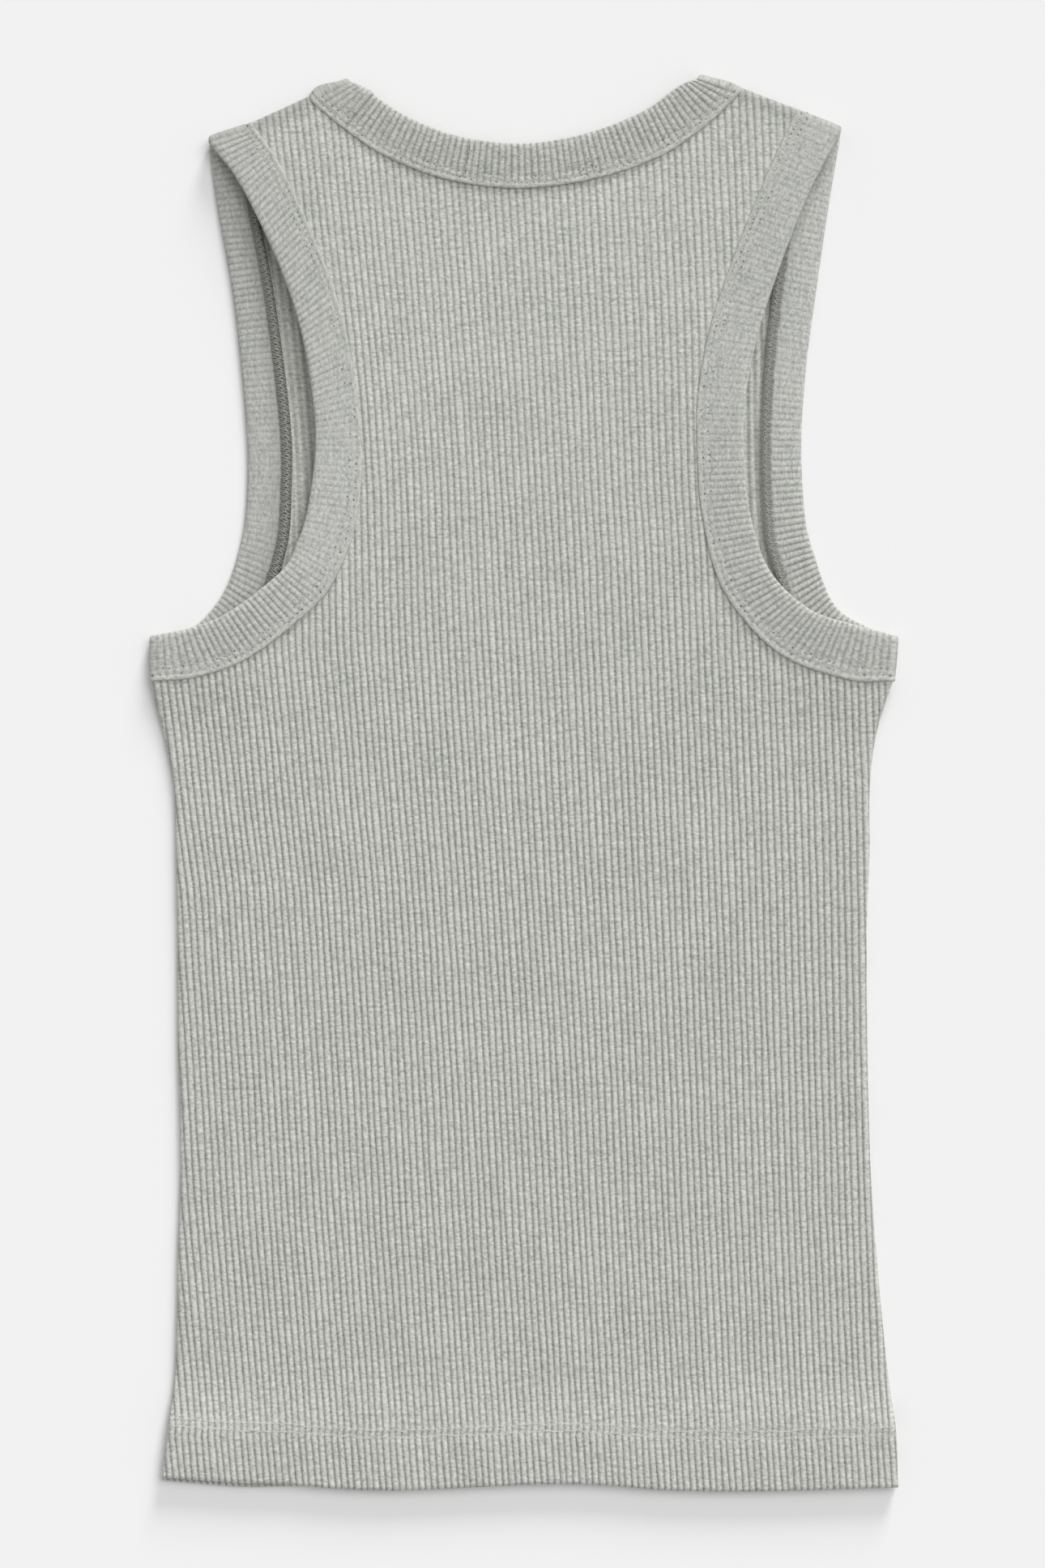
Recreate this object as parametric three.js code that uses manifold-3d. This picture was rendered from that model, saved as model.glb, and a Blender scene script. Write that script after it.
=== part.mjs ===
// A ribbed tank top laid flat on a table with its back upwards.
// Sizes are in millimetres. X runs to the right as seen from above, Y runs from the hem to the neck, Z is up.
// The top is cut from rib knit: a back, a front, and a doubled strip round the neck and round each armhole.
import * as THREE from 'three';
import { mergeVertices } from 'three/addons/utils/BufferGeometryUtils.js';
import Module from 'manifold-3d';

const wasm = await Module();
wasm.setup();

// The knit and its layers
const RIB_PITCH = 2.86;
const RIB_HEIGHT = 0.6;
const BACK_WALL = 1.2; // between the ribs
const FRONT_WALL = 1.5;
const TURNUP_WALL = 1.1;
const SEAM_GAP = 0.3;
const HEM_DEPTH = 25;

// The bands are doubled strips, so they are thicker than the panels
const BAND_THICKNESS = 2.8;
const BAND_RIB_HEIGHT = 0.45;
const PLAIN_STATION_STEP = 8; // along the bands' hidden front half
const BACK_SEAM_STRIDE = 3; // the back panel follows every third station of a band

// Heights of the layers where the hem's four walls lie on each other
const FRONT_TURNUP_Z = FRONT_WALL + SEAM_GAP;
const BACK_TURNUP_Z = FRONT_TURNUP_Z + TURNUP_WALL + SEAM_GAP;
const BACK_HEM_Z = BACK_TURNUP_Z + TURNUP_WALL + SEAM_GAP;
const OVER_FRONT_Z = FRONT_WALL + SEAM_GAP;

// Turns of the bands at the shoulder and underarm
const BAND_HALF = BAND_THICKNESS / 2;
const FRONT_BAND_MIDDLE = BAND_HALF;
const BACK_BAND_MIDDLE = BAND_THICKNESS + SEAM_GAP + BAND_HALF;
const TURN_RADIUS = (BACK_BAND_MIDDLE - FRONT_BAND_MIDDLE) / 2;
const TURN_MIDDLE = (BACK_BAND_MIDDLE + FRONT_BAND_MIDDLE) / 2;
const TURN_REACH = TURN_RADIUS + BAND_HALF;
const TURN_STEPS = 6;

// Rounding of the back towards its side seams and its shoulder folds
const SIDE_ROUND = 3;
const SHOULDER_ROUND = 4.5;
const EDGE_DROP = 0.7;
const TURNUP_INSET = 0.8;
const TURNUP_OVERLAP = 4;
const TURNUP_ROOT = 0.3;
const TURNUP_BURIED = 0.4; // how deep the turn-up's root lies inside the wall
const TURNUP_BEHIND = 0.25; // from the wall's lower end to the turn-up's fold
const HEM_STATIONS = 22;
const HEM_LEVEL = -298;
const SIDE_ENDS_ABOVE_HEM = 8;
const HEM_ROUND = 1.2; // over which the ribs round down to the hem's folded edge
const CUT_PAST_HEM = 3;
const HEM_ROWS = 2;
const CUT_BOTTOM = 1; // the blocks that the back is cut from reach past it above and below
const CUT_TOP = 12;

function table(columns, ...lines) {
  return lines.map((line) => Object.fromEntries(columns.map((name, i) => [name, line[i]])));
}

// Edges of the bands: the free edge faces the opening, the seam edge faces the panel
const EDGES = ['freeX', 'freeY', 'seamX', 'seamY'];

const LEFT_ARMHOLE = {
  start: table(EDGES, [-134.9, 273.5, -115.3, 280.1])[0],
  end: table(EDGES, [-159, 62.4, -159, 42.8])[0],
  back: table(
    EDGES,
    [-122.5, 256.7, -105.3, 264.9],
    [-111.5, 236.1, -95, 244.3],
    [-101.2, 212.4, -84.4, 219.6],
    [-93.6, 187.3, -75.8, 192.4],
    [-89.2, 159.8, -70.6, 162.2],
    [-88.5, 139.2, -68.6, 136.4],
    [-91.9, 114.4, -71, 111],
    [-96.4, 100.7, -77.8, 91.1],
    [-102.9, 89.3, -87.8, 75.6],
    [-124.9, 72.2, -115.6, 53.3],
    [-141.4, 65.3, -138, 44.7],
  ),
  front: table(
    EDGES,
    [-130.1, 244, -113.2, 245.7],
    [-123.2, 204.5, -106, 207.2],
    [-118, 152.9, -99.1, 153.6],
    [-117.4, 125.4, -98.5, 124.7],
    [-119.8, 103.1, -100.9, 97.9],
    [-127.7, 80.1, -112.2, 68.7],
    [-141.4, 64.9, -133.5, 48.5],
  ),
};

const RIGHT_ARMHOLE = {
  start: table(EDGES, [135.9, 277.7, 116.3, 285.6])[0],
  end: table(EDGES, [159.3, 62.2, 159.3, 42])[0],
  back: table(
    EDGES,
    [125.3, 258.4, 107, 266],
    [116.7, 239.5, 98.1, 245.4],
    [106.7, 212.7, 87.5, 218.2],
    [98.8, 187.3, 78.5, 190],
    [94, 161.5, 73.7, 162.2],
    [93.6, 139.2, 73.7, 138.5],
    [95.7, 115.1, 75.8, 112.7],
    [104.3, 89.7, 84.7, 81.4],
    [121.5, 73.2, 107.7, 55],
    [140.4, 66.7, 136.9, 43.6],
  ),
  front: table(
    EDGES,
    [130.1, 247.8, 111.5, 251.9],
    [124.9, 212.7, 106.7, 216.5],
    [120.1, 177, 102.6, 180.1],
    [118, 144.3, 100.9, 144.3],
    [119.4, 114.1, 101.9, 111.7],
    [122.9, 98.3, 105.3, 92.8],
    [131.8, 75.6, 118, 61.9],
    [145.5, 66, 138, 47.8],
  ),
};

const NECK = {
  start: table(EDGES, [-74.4, 299, -91.2, 291.1])[0],
  end: table(EDGES, [74.1, 300.7, 92.3, 294.8])[0],
  back: table(
    EDGES,
    [-64.8, 292.1, -77.5, 278],
    [-51.4, 283.2, -60.3, 266.3],
    [-33.2, 275.4, -38, 257],
    [-16, 271.8, -18, 252.9],
    [0.5, 270.8, 1.2, 251.9],
    [18.4, 273.2, 21.1, 254],
    [34.9, 277.7, 41.1, 258.8],
    [52.1, 285.2, 61, 267],
    [65.8, 295, 79.5, 280.2],
  ),
  front: table(
    EDGES,
    [-69.6, 283.5, -87.1, 278],
    [-55.8, 249.1, -72.3, 240.5],
    [-33.8, 216.5, -45.5, 201.7],
    [0.5, 200, 0.5, 181.1],
    [34.9, 216.5, 46.6, 201.7],
    [56.9, 249.1, 73.4, 240.5],
    [69.9, 283.5, 87.8, 279.4],
  ),
};

// Side seams from the hem up to the underarm
const SIDES = table(
  ['y', 'left', 'right'],
  [-298, -153.6, 158.8],
  [-275, -151, 158],
  [-250, -148, 154.6],
  [-195, -146.6, 149.4],
  [-160, -145.6, 147.2],
  [-110, -146.8, 146],
  [-60, -147, 145.8],
  [-30, -147.6, 147],
  [-2, -148.6, 147],
  [19, -152.7, 149.4],
  [32.5, -156.2, 153.2],
  [42, -158, 156.4],
);

// The folded lower edges of the back and of the front, which peeks out at the lower left
const HEM = table(
  ['x', 'back', 'front'],
  [-160, -294.6, -296],
  [-122, -297.4, -299.2],
  [-100, -298, -299.2],
  [-81, -299.7, -299],
  [-55, -300.6, -299.4],
  [8, -298, -297],
  [32, -298.3, -297.2],
  [60, -300.4, -299.2],
  [95, -301, -299.8],
  [160, -299.3, -298.2],
);

// How far the ribs have drifted to the right, at the left side, the middle and the right side
const RIB_DRIFT = table(
  ['y', 'left', 'middle', 'right'],
  [-300, 37, 21.7, 13],
  [-252, 34, 19, 8.5],
  [-184, 25, 14.8, 3.5],
  [-81, 17.5, 8.3, 0],
  [-12, 10.5, 4, -1],
  [57, 0, 0, 0],
  [300, -16.8, -16.8, -16.8],
);
const DRIFT_REACH = 158; // from the middle to the side at the underarm
const DRIFT_LIMIT = 1.3; // ribs that start past the side drift on at this share at most
const RIB_COUNT = { left: 70, right: 60 };

// Height of the back's underside: at its edges, and in its middle where it puffs up or sags
const BACK_UNDERSIDE = table(
  ['y', 'halfWidth', 'edge', 'middle'],
  [-302, 156, BACK_HEM_Z, BACK_HEM_Z],
  [-273, 154, BACK_HEM_Z, BACK_HEM_Z],
  [-258, 152, 1.9, 3.2],
  [-184, 148, 1.9, 3],
  [-81, 148, 1.9, 2.6],
  [22, 150, 2.1, 2.3],
  [46, 132, 3.9, 2.2],
  [105, 78, 3.9, 2.5],
  [167, 74, 3.9, 3.3],
  [300, 95, 3.9, 3.3],
);

// Rows of the back: lines at a set distance below the shoulders, then level lines down to the turn-up
const SHOULDER_ROWS = [-1, 0.3, 1.5, SHOULDER_ROUND];
const LEVEL_ROWS = [228, 167, 105, 57, 22, -81, -184, -258, -273];
const UNDERSIDE_STEP = 18;

// Colours of the grey melange
const PANEL_COLOUR = '#b3b4ae';
const BAND_COLOUR = '#b8b9b4';

// Tables

function smoothValue(rows, key, column, at) {
  const last = rows.length - 1;
  const found = rows.findIndex((row, n) => n < last && at <= rows[n + 1][key]);
  const n = found < 0 ? last - 1 : found;
  const slope = (m) => {
    const [before, after] = [rows[Math.max(m - 1, 0)], rows[Math.min(m + 1, last)]];
    return (after[column] - before[column]) / (after[key] - before[key]);
  };
  const span = rows[n + 1][key] - rows[n][key];
  const t = THREE.MathUtils.clamp((at - rows[n][key]) / span, 0, 1);
  const [a, b] = [rows[n][column], rows[n + 1][column]];
  const [slopeA, slopeB] = [slope(n) * span, slope(n + 1) * span];
  return a + t * (slopeA + t * (3 * (b - a) - 2 * slopeA - slopeB + t * (slopeA + slopeB - 2 * (b - a))));
}

function straightValue(rows, key, column, at) {
  const last = rows.length - 1;
  const found = rows.findIndex((row, n) => n < last && at <= rows[n + 1][key]);
  const n = found < 0 ? last - 1 : found;
  const t = THREE.MathUtils.clamp((at - rows[n][key]) / (rows[n + 1][key] - rows[n][key]), 0, 1);
  return THREE.MathUtils.lerp(rows[n][column], rows[n + 1][column], t);
}

const sideX = (side, y) => smoothValue(SIDES, 'y', side, y);
const hemY = (panel, x) => smoothValue(HEM, 'x', panel, x);

// Solids

function indexedGeometry(points, faces) {
  const geometry = new THREE.BufferGeometry().setFromPoints(points);
  geometry.setIndex(faces.flat());
  return geometry;
}

function solidFrom(geometry) {
  const bare = geometry.clone();
  bare.deleteAttribute('normal');
  bare.deleteAttribute('uv');
  const merged = mergeVertices(bare, 1e-4);
  return new wasm.Manifold(new wasm.Mesh({
    numProp: 3,
    vertProperties: new Float32Array(merged.attributes.position.array),
    triVerts: new Uint32Array(merged.index.array),
  }));
}

function geometryFrom(solid) {
  const mesh = solid.getMesh();
  const geometry = new THREE.BufferGeometry();
  geometry.setAttribute('position', new THREE.BufferAttribute(mesh.vertProperties, 3));
  geometry.setIndex(new THREE.BufferAttribute(mesh.triVerts, 1));
  geometry.computeVertexNormals();
  return geometry;
}

// A block between a surface, given as rows of points, and a level floor below it
function blockUnder(rows, floor) {
  const across = rows[0].length;
  const top = rows.flat();
  const bottom = top.map((point) => new THREE.Vector3(point.x, point.y, floor));
  const faces = [];
  for (let r = 0; r < rows.length - 1; r += 1) {
    for (let c = 0; c < across - 1; c += 1) {
      const [a, b] = [r * across + c, r * across + c + 1];
      const [d, e] = [a + across, b + across];
      faces.push([a, b, e], [a, e, d]);
      faces.push([a + top.length, e + top.length, b + top.length], [a + top.length, d + top.length, e + top.length]);
    }
  }
  const rim = [];
  for (let c = 0; c < across; c += 1) rim.push(c);
  for (let r = 1; r < rows.length; r += 1) rim.push(r * across + across - 1);
  for (let c = across - 2; c >= 0; c -= 1) rim.push((rows.length - 1) * across + c);
  for (let r = rows.length - 2; r >= 1; r -= 1) rim.push(r * across);
  rim.forEach((a, k) => {
    const b = rim[(k + 1) % rim.length];
    faces.push([a, a + top.length, b + top.length], [a, b + top.length, b]);
  });
  return solidFrom(indexedGeometry([...top, ...bottom], faces));
}

// A solid swept through sections that all have the same number of points
function sweptGeometry(sections, closed) {
  const around = sections[0].length;
  const faces = [];
  const contour = sections[0].map((point) => new THREE.Vector2(point.y, point.z));
  if (!closed && THREE.ShapeUtils.isClockWise(contour)) {
    return sweptGeometry(sections.map((section) => [...section].reverse()), closed);
  }
  const joints = closed ? sections.length : sections.length - 1;
  for (let s = 0; s < joints; s += 1) {
    const next = ((s + 1) % sections.length) * around;
    for (let k = 0; k < around; k += 1) {
      const [a, b] = [s * around + k, s * around + ((k + 1) % around)];
      const [d, e] = [next + k, next + ((k + 1) % around)];
      faces.push([a, b, e], [a, e, d]);
    }
  }
  if (!closed) {
    const lastStart = (sections.length - 1) * around;
    THREE.ShapeUtils.triangulateShape(contour, []).forEach(([i, j, k]) => {
      faces.push([k, j, i], [lastStart + i, lastStart + j, lastStart + k]);
    });
  }
  return indexedGeometry(sections.flat(), faces);
}

// Bands

function edgePoint(row, edge) {
  return new THREE.Vector3(row[`${edge}X`], row[`${edge}Y`], 0);
}

// The turn's line lies inside the outline by the reach of the turn, which bulges back out to it
function turnRow(row, neighbour) {
  const free = edgePoint(row, 'free');
  const seam = edgePoint(row, 'seam');
  const outward = new THREE.Vector3(free.y - seam.y, seam.x - free.x, 0).normalize();
  const inside = edgePoint(neighbour, 'free').add(edgePoint(neighbour, 'seam'));
  const towards = inside.multiplyScalar(0.5).sub(free.clone().lerp(seam, 0.5));
  if (outward.dot(towards) > 0) outward.negate();
  return {
    free: free.addScaledVector(outward, -TURN_REACH),
    seam: seam.addScaledVector(outward, -TURN_REACH),
    outward,
  };
}

function stretchStations(first, rows, last, step, turn) {
  const free = [first.free, ...rows.map((row) => edgePoint(row, 'free')), last.free];
  const seam = [first.seam, ...rows.map((row) => edgePoint(row, 'seam')), last.seam];
  const middle = free.map((point, n) => point.clone().lerp(seam[n], 0.5));
  const [freeCurve, seamCurve, middleCurve] = [free, seam, middle].map(
    (points) => new THREE.CatmullRomCurve3(points, false, 'catmullrom', 0.5),
  );
  const steps = 2 * Math.round(middleCurve.getLength() / step / 2);
  return Array.from({ length: steps + 1 }, (_, n) => {
    const t = middleCurve.getUtoTmapping(n / steps);
    return { free: freeCurve.getPoint(t), seam: seamCurve.getPoint(t), outward: new THREE.Vector3(), turn };
  });
}

function turnStations(row, fromBack) {
  return Array.from({ length: TURN_STEPS - 1 }, (_, n) => {
    const share = (n + 1) / TURN_STEPS;
    return { ...row, turn: Math.PI * (fromBack ? share : 1 - share) };
  });
}

function bandStations(edges) {
  const start = turnRow(edges.start, edges.back[0]);
  const end = turnRow(edges.end, edges.back[edges.back.length - 1]);
  const back = stretchStations(start, edges.back, end, RIB_PITCH / 2, 0);
  const front = stretchStations(start, edges.front, end, PLAIN_STATION_STEP, Math.PI).reverse();
  const ring = [...back, ...turnStations(end, true), ...front, ...turnStations(start, false)];
  return { start, end, back, front, ring };
}

// Across a band from its free fold, over the outer side to the seam, and back along the inner side
const BAND_SECTION = table(
  ['across', 'out', 'outer'],
  [0, 0.1, false],
  [0.07, 1.15, true],
  [1, BAND_HALF, true],
  [1, -BAND_HALF, false],
  [0.07, -1.15, false],
);

function bandSection(station, raised) {
  const frontShare = (1 - Math.cos(station.turn)) / 2;
  return BAND_SECTION.map(({ across, out, outer }) => {
    const flattened = outer ? THREE.MathUtils.lerp(out, BAND_HALF, frontShare) : out;
    const radius = TURN_RADIUS + flattened + (raised && outer ? BAND_RIB_HEIGHT : 0);
    const point = station.free.clone().lerp(station.seam, across);
    point.addScaledVector(station.outward, radius * Math.sin(station.turn));
    point.z = TURN_MIDDLE + radius * Math.cos(station.turn);
    return point;
  });
}

// The ribs run across the band, so every other station of the upper half stands higher
function bandGeometry(stations) {
  const sections = stations.ring.map((station, n) => bandSection(station, n % 2 === 1 && station.turn <= Math.PI / 2));
  const solid = sweptGeometry(sections, true);
  return signedVolume(solid) < 0 ? flipped(solid) : solid;
}

function signedVolume(geometry) {
  const position = geometry.attributes.position;
  const [a, b, c] = [new THREE.Vector3(), new THREE.Vector3(), new THREE.Vector3()];
  let volume = 0;
  for (let n = 0; n < geometry.index.count; n += 3) {
    a.fromBufferAttribute(position, geometry.index.getX(n));
    b.fromBufferAttribute(position, geometry.index.getX(n + 1));
    c.fromBufferAttribute(position, geometry.index.getX(n + 2));
    volume += a.dot(b.cross(c)) / 6;
  }
  return volume;
}

function flipped(geometry) {
  const turned = geometry.clone();
  turned.setIndex(Array.from(geometry.index.array).reverse());
  return turned;
}

// Panels

// The panel's edge along a band, one seam gap away from it, out to the fold's outline
function edgeAlongBand(stations, first, last) {
  const away = ({ free, seam }) => seam.clone().addScaledVector(seam.clone().sub(free).normalize(), SEAM_GAP);
  const corner = (row) => away(row).addScaledVector(row.outward, TURN_REACH);
  return [corner(first), ...stations.map(away), corner(last)];
}

function panelShape(half, stride, hemInset) {
  const edge = (band) => {
    const picked = band[half].filter((_, n) => n % stride === 0 || n === band[half].length - 1);
    const ordered = half === 'back' ? picked : picked.reverse();
    return edgeAlongBand(ordered, band.start, band.end);
  };
  const neck = edge(neckBand);
  const right = edge(rightBand);
  const left = edge(leftBand).reverse();
  const sideRows = SIDES.slice(0, -1).map((row) => row.y).reverse();
  const rightSide = sideRows.map((y) => new THREE.Vector2(sideX('right', y), y));
  const leftSide = sideRows.map((y) => new THREE.Vector2(sideX('left', y), y)).reverse();
  const [hemLeft, hemRight] = [sideX('left', HEM_LEVEL), sideX('right', HEM_LEVEL)];
  const hem = Array.from({ length: HEM_STATIONS + 1 }, (_, n) => {
    const x = THREE.MathUtils.lerp(hemRight, hemLeft, n / HEM_STATIONS);
    return new THREE.Vector2(x, hemY(half, x) + hemInset);
  });
  const insideHem = (point) => point.y > HEM_LEVEL + SIDE_ENDS_ABOVE_HEM;
  const outline = [...neck, ...right, ...rightSide.filter(insideHem), ...hem, ...leftSide.filter(insideHem), ...left];
  return new THREE.Shape(outline.map((point) => new THREE.Vector2(point.x, point.y)));
}

function extruded(shape, bottom, top) {
  const geometry = new THREE.ExtrudeGeometry(shape, { depth: top - bottom, bevelEnabled: false });
  return solidFrom(geometry.translate(0, 0, bottom));
}

// The turned-up hem: from inside the wall, round the fold and back up on the inside
function turnup(half, wallInside, direction) {
  const nearZ = wallInside + direction * SEAM_GAP;
  const farZ = nearZ + direction * TURNUP_WALL;
  const wall = half === 'back' ? BACK_WALL : FRONT_WALL;
  const outsideZ = wallInside - direction * (wall - TURNUP_BURIED);
  const radius = Math.abs(farZ - outsideZ) / 2;
  const middleZ = (farZ + outsideZ) / 2;
  const arc = [0, 0.25, 0.5, 0.75, 1].map((share) => ({
    up: TURNUP_BEHIND + radius * (1 - Math.sin(Math.PI * share)),
    z: middleZ - direction * radius * Math.cos(Math.PI * share),
  }));
  const profile = [
    { up: TURNUP_OVERLAP, z: outsideZ },
    ...arc,
    { up: HEM_DEPTH, z: farZ },
    { up: HEM_DEPTH, z: nearZ },
    { up: TURNUP_WALL, z: nearZ },
    { up: TURNUP_WALL, z: wallInside - direction * TURNUP_ROOT },
    { up: TURNUP_OVERLAP, z: wallInside - direction * TURNUP_ROOT },
  ];
  const sections = Array.from({ length: HEM_STATIONS + 1 }, (_, n) => {
    const share = n / HEM_STATIONS;
    const foldX = THREE.MathUtils.lerp(sideX('left', HEM_LEVEL), sideX('right', HEM_LEVEL), share);
    return profile.map(({ up, z }) => {
      const y = hemY(half, foldX) + up;
      const [left, right] = [sideX('left', y) + TURNUP_INSET, sideX('right', y) - TURNUP_INSET];
      return new THREE.Vector3(THREE.MathUtils.lerp(left, right, share), y, z);
    });
  });
  return solidFrom(sweptGeometry(sections, false));
}

function frontPanel() {
  const wall = extruded(panelShape('front', 1, 0), 0, FRONT_WALL);
  return geometryFrom(wall.add(turnup('front', FRONT_WALL, 1)));
}

// The shoulders' fold line, which rises from each armhole towards the neck
function shoulderY(x) {
  const line = (band, other) => {
    const slope = (other.seamY - band.seamY) / (other.seamX - band.seamX);
    return band.seamY + slope * (x - band.seamX);
  };
  return Math.min(line(LEFT_ARMHOLE.start, NECK.start), line(RIGHT_ARMHOLE.start, NECK.end));
}

function undersideZ(x, y) {
  const value = (column) => straightValue(BACK_UNDERSIDE, 'y', column, y);
  const share = Math.min(Math.abs(x) / value('halfWidth'), 1);
  const height = THREE.MathUtils.lerp(value('middle'), value('edge'), share ** 3);
  const below = THREE.MathUtils.clamp((shoulderY(x) - y) / SHOULDER_ROUND, 0, 1);
  const rounded = Math.sqrt(1 - (1 - below) ** 2);
  return THREE.MathUtils.lerp(OVER_FRONT_Z, height, rounded);
}

function edgeDrop(x, y) {
  const fromSide = Math.min(x - sideX('left', y), sideX('right', y) - x) / SIDE_ROUND;
  const fromShoulder = (shoulderY(x) - y) / SHOULDER_ROUND;
  const besideSeam = y < LEFT_ARMHOLE.end.seamY;
  const nearest = THREE.MathUtils.clamp(besideSeam ? Math.min(fromSide, fromShoulder) : fromShoulder, 0, 1);
  return EDGE_DROP * (1 - Math.sqrt(1 - (1 - nearest) ** 2));
}

function ribX(baseX, y) {
  const share = THREE.MathUtils.clamp(baseX / DRIFT_REACH, -DRIFT_LIMIT, DRIFT_LIMIT);
  const middle = straightValue(RIB_DRIFT, 'y', 'middle', y);
  const side = straightValue(RIB_DRIFT, 'y', share < 0 ? 'left' : 'right', y);
  return baseX + THREE.MathUtils.lerp(middle, side, Math.abs(share));
}

// Row lines of the back from the hem's fold up to the shoulders, as functions of x
function backRows() {
  const hemRows = [(x) => hemY('back', x), (x) => hemY('back', x) + HEM_ROUND];
  const levelRows = LEVEL_ROWS.map((y) => () => y).reverse();
  const shoulderRows = SHOULDER_ROWS.map((below) => (x) => shoulderY(x) - below).reverse();
  return [...hemRows, ...levelRows, ...shoulderRows];
}

function backPanel() {
  const rows = backRows();
  const columns = [];
  for (let rib = -RIB_COUNT.left; rib <= RIB_COUNT.right; rib += 1) {
    columns.push({ baseX: rib * RIB_PITCH, height: RIB_HEIGHT });
    columns.push({ baseX: (rib + 0.5) * RIB_PITCH, height: 0 });
  }
  const ribbed = rows.map((rowY, n) => columns.map(({ baseX, height }) => {
    const startY = rowY(baseX);
    const x = ribX(baseX, startY);
    const y = rowY(x);
    const drop = n === 0 ? EDGE_DROP : edgeDrop(x, y);
    return new THREE.Vector3(x, y, undersideZ(x, y) + BACK_WALL + height - drop);
  }));
  const reach = Math.ceil(DRIFT_REACH / UNDERSIDE_STEP) + 1;
  const pastHem = (x) => hemY('back', x) - 2 * CUT_PAST_HEM;
  const underside = [pastHem, ...rows.slice(HEM_ROWS)].map((rowY) => (
    Array.from({ length: 2 * reach + 1 }, (_, n) => {
      const x = (n - reach) * UNDERSIDE_STEP;
      return new THREE.Vector3(x, rowY(x), undersideZ(x, rowY(x)));
    })
  ));
  const outline = extruded(panelShape('back', BACK_SEAM_STRIDE, -CUT_PAST_HEM), 0, CUT_TOP);
  const wall = blockUnder(ribbed, CUT_BOTTOM).intersect(outline).subtract(blockUnder(underside, -CUT_BOTTOM));
  return geometryFrom(wall.add(turnup('back', BACK_HEM_Z, -1)));
}

const leftBand = bandStations(LEFT_ARMHOLE);
const rightBand = bandStations(RIGHT_ARMHOLE);
const neckBand = bandStations(NECK);

const panelKnit = new THREE.MeshStandardMaterial({ color: PANEL_COLOUR, roughness: 0.95, metalness: 0 });
const bandKnit = new THREE.MeshStandardMaterial({ color: BAND_COLOUR, roughness: 0.95, metalness: 0 });

const garment = new THREE.Group();

function addPiece(name, geometry, material) {
  const mesh = new THREE.Mesh(geometry, material.clone());
  mesh.name = name;
  garment.add(mesh);
}

addPiece('front_panel', frontPanel(), panelKnit);
addPiece('back_panel', backPanel(), panelKnit);
addPiece('neck_band', bandGeometry(neckBand), bandKnit);
addPiece('left_armhole_band', bandGeometry(leftBand), bandKnit);
addPiece('right_armhole_band', bandGeometry(rightBand), bandKnit);

// The origin is on the table, in the middle of the garment's outline
const box = new THREE.Box3().setFromObject(garment);
const middle = box.getCenter(new THREE.Vector3());
garment.position.set(-middle.x, -middle.y, -box.min.z);

export default garment;
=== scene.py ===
"""A tank top of grey melange rib knit, laid flat on a pale floor with its back upwards.

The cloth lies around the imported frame. X runs across, Y from the hem to the neck and Z up. The garment's own
sizes are in millimetres, measured from the middle of the photographed outline, and every mesh is in metres.
"""
import logging
import math
from dataclasses import dataclass
from enum import Enum
from typing import Callable, NamedTuple

import bmesh
import bpy
import numpy as np
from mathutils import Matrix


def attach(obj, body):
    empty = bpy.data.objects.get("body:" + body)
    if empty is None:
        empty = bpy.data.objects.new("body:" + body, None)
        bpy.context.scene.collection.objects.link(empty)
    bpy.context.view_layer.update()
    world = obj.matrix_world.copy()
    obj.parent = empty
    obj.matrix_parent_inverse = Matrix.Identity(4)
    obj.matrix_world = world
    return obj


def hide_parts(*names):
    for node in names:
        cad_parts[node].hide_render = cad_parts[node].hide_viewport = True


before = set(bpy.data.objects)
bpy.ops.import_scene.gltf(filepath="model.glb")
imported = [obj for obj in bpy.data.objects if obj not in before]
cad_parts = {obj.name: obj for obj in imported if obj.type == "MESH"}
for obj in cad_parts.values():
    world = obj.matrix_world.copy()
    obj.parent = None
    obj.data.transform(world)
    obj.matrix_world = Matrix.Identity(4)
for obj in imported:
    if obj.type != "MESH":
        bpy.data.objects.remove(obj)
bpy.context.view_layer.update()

log = logging.getLogger("tank_top")

MM = 0.001
TABLE_ORIGIN = (-0.15, 0.219)  # where the sizes' own middle lies in the frame, in millimetres
MERGE = 0.02  # points nearer to each other than this are one point

RIB_PITCH = 2.94  # from one rib to the next at the underarms' height, where RIB_DRIFT starts
RIB_HEIGHT = 0.6  # of a crest over its valleys
CLOTH = 0.7  # thickness of one layer of the knit
HEM_Y = -298.0  # the hem's mean height, where the ribs of its fold are placed
STITCH_LENGTH = 2.6
NEEDLE_ROWS = (2.1, 4.75)  # the two rows of stitching, from a band's seam edge
BAND_WIDTH = 19.8

# Heights of the layers, which lie on each other
REST_Z = 0.02  # the lowest points of the cloth, just clear of the floor
BACK_WALL = 1.2  # from the back's underside to its valleys
OVER_FRONT_Z = 1.8  # the back's underside where it lies straight on the front
BAND_HALF = 1.4  # from the middle between a band's two layers to its crests
TURN_RADIUS = 1.55  # of a band's turn at a shoulder or an underarm, out to that middle
TURN_MIDDLE = 2.95  # height of the turn's own middle, so that the front half's crests rest on the floor
TURN_REACH = 2.95  # how far the crests reach beyond the turn's middle

MATH = "ShaderNodeMath"
Paths = list[tuple[np.ndarray, bool]]  # for each thread its points in millimetres, and whether it closes


class Layer(Enum):
    """The garment's two halves, one above the other."""

    BACK = "back"
    FRONT = "front"


class BandRow(NamedTuple):
    """Where a band's free edge and its seam edge pass."""

    free_x: float
    free_y: float
    seam_x: float
    seam_y: float


class SideRow(NamedTuple):
    """The side seams at one height."""

    y: float
    left: float
    right: float


class HemRow(NamedTuple):
    """The folded lower edges of the back and the front at one place across."""

    x: float
    back: float
    front: float


class DriftRow(NamedTuple):
    """How far the ribs have drifted to the right at the left side, the middle and the right side."""

    y: float
    left: float
    middle: float
    right: float


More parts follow.
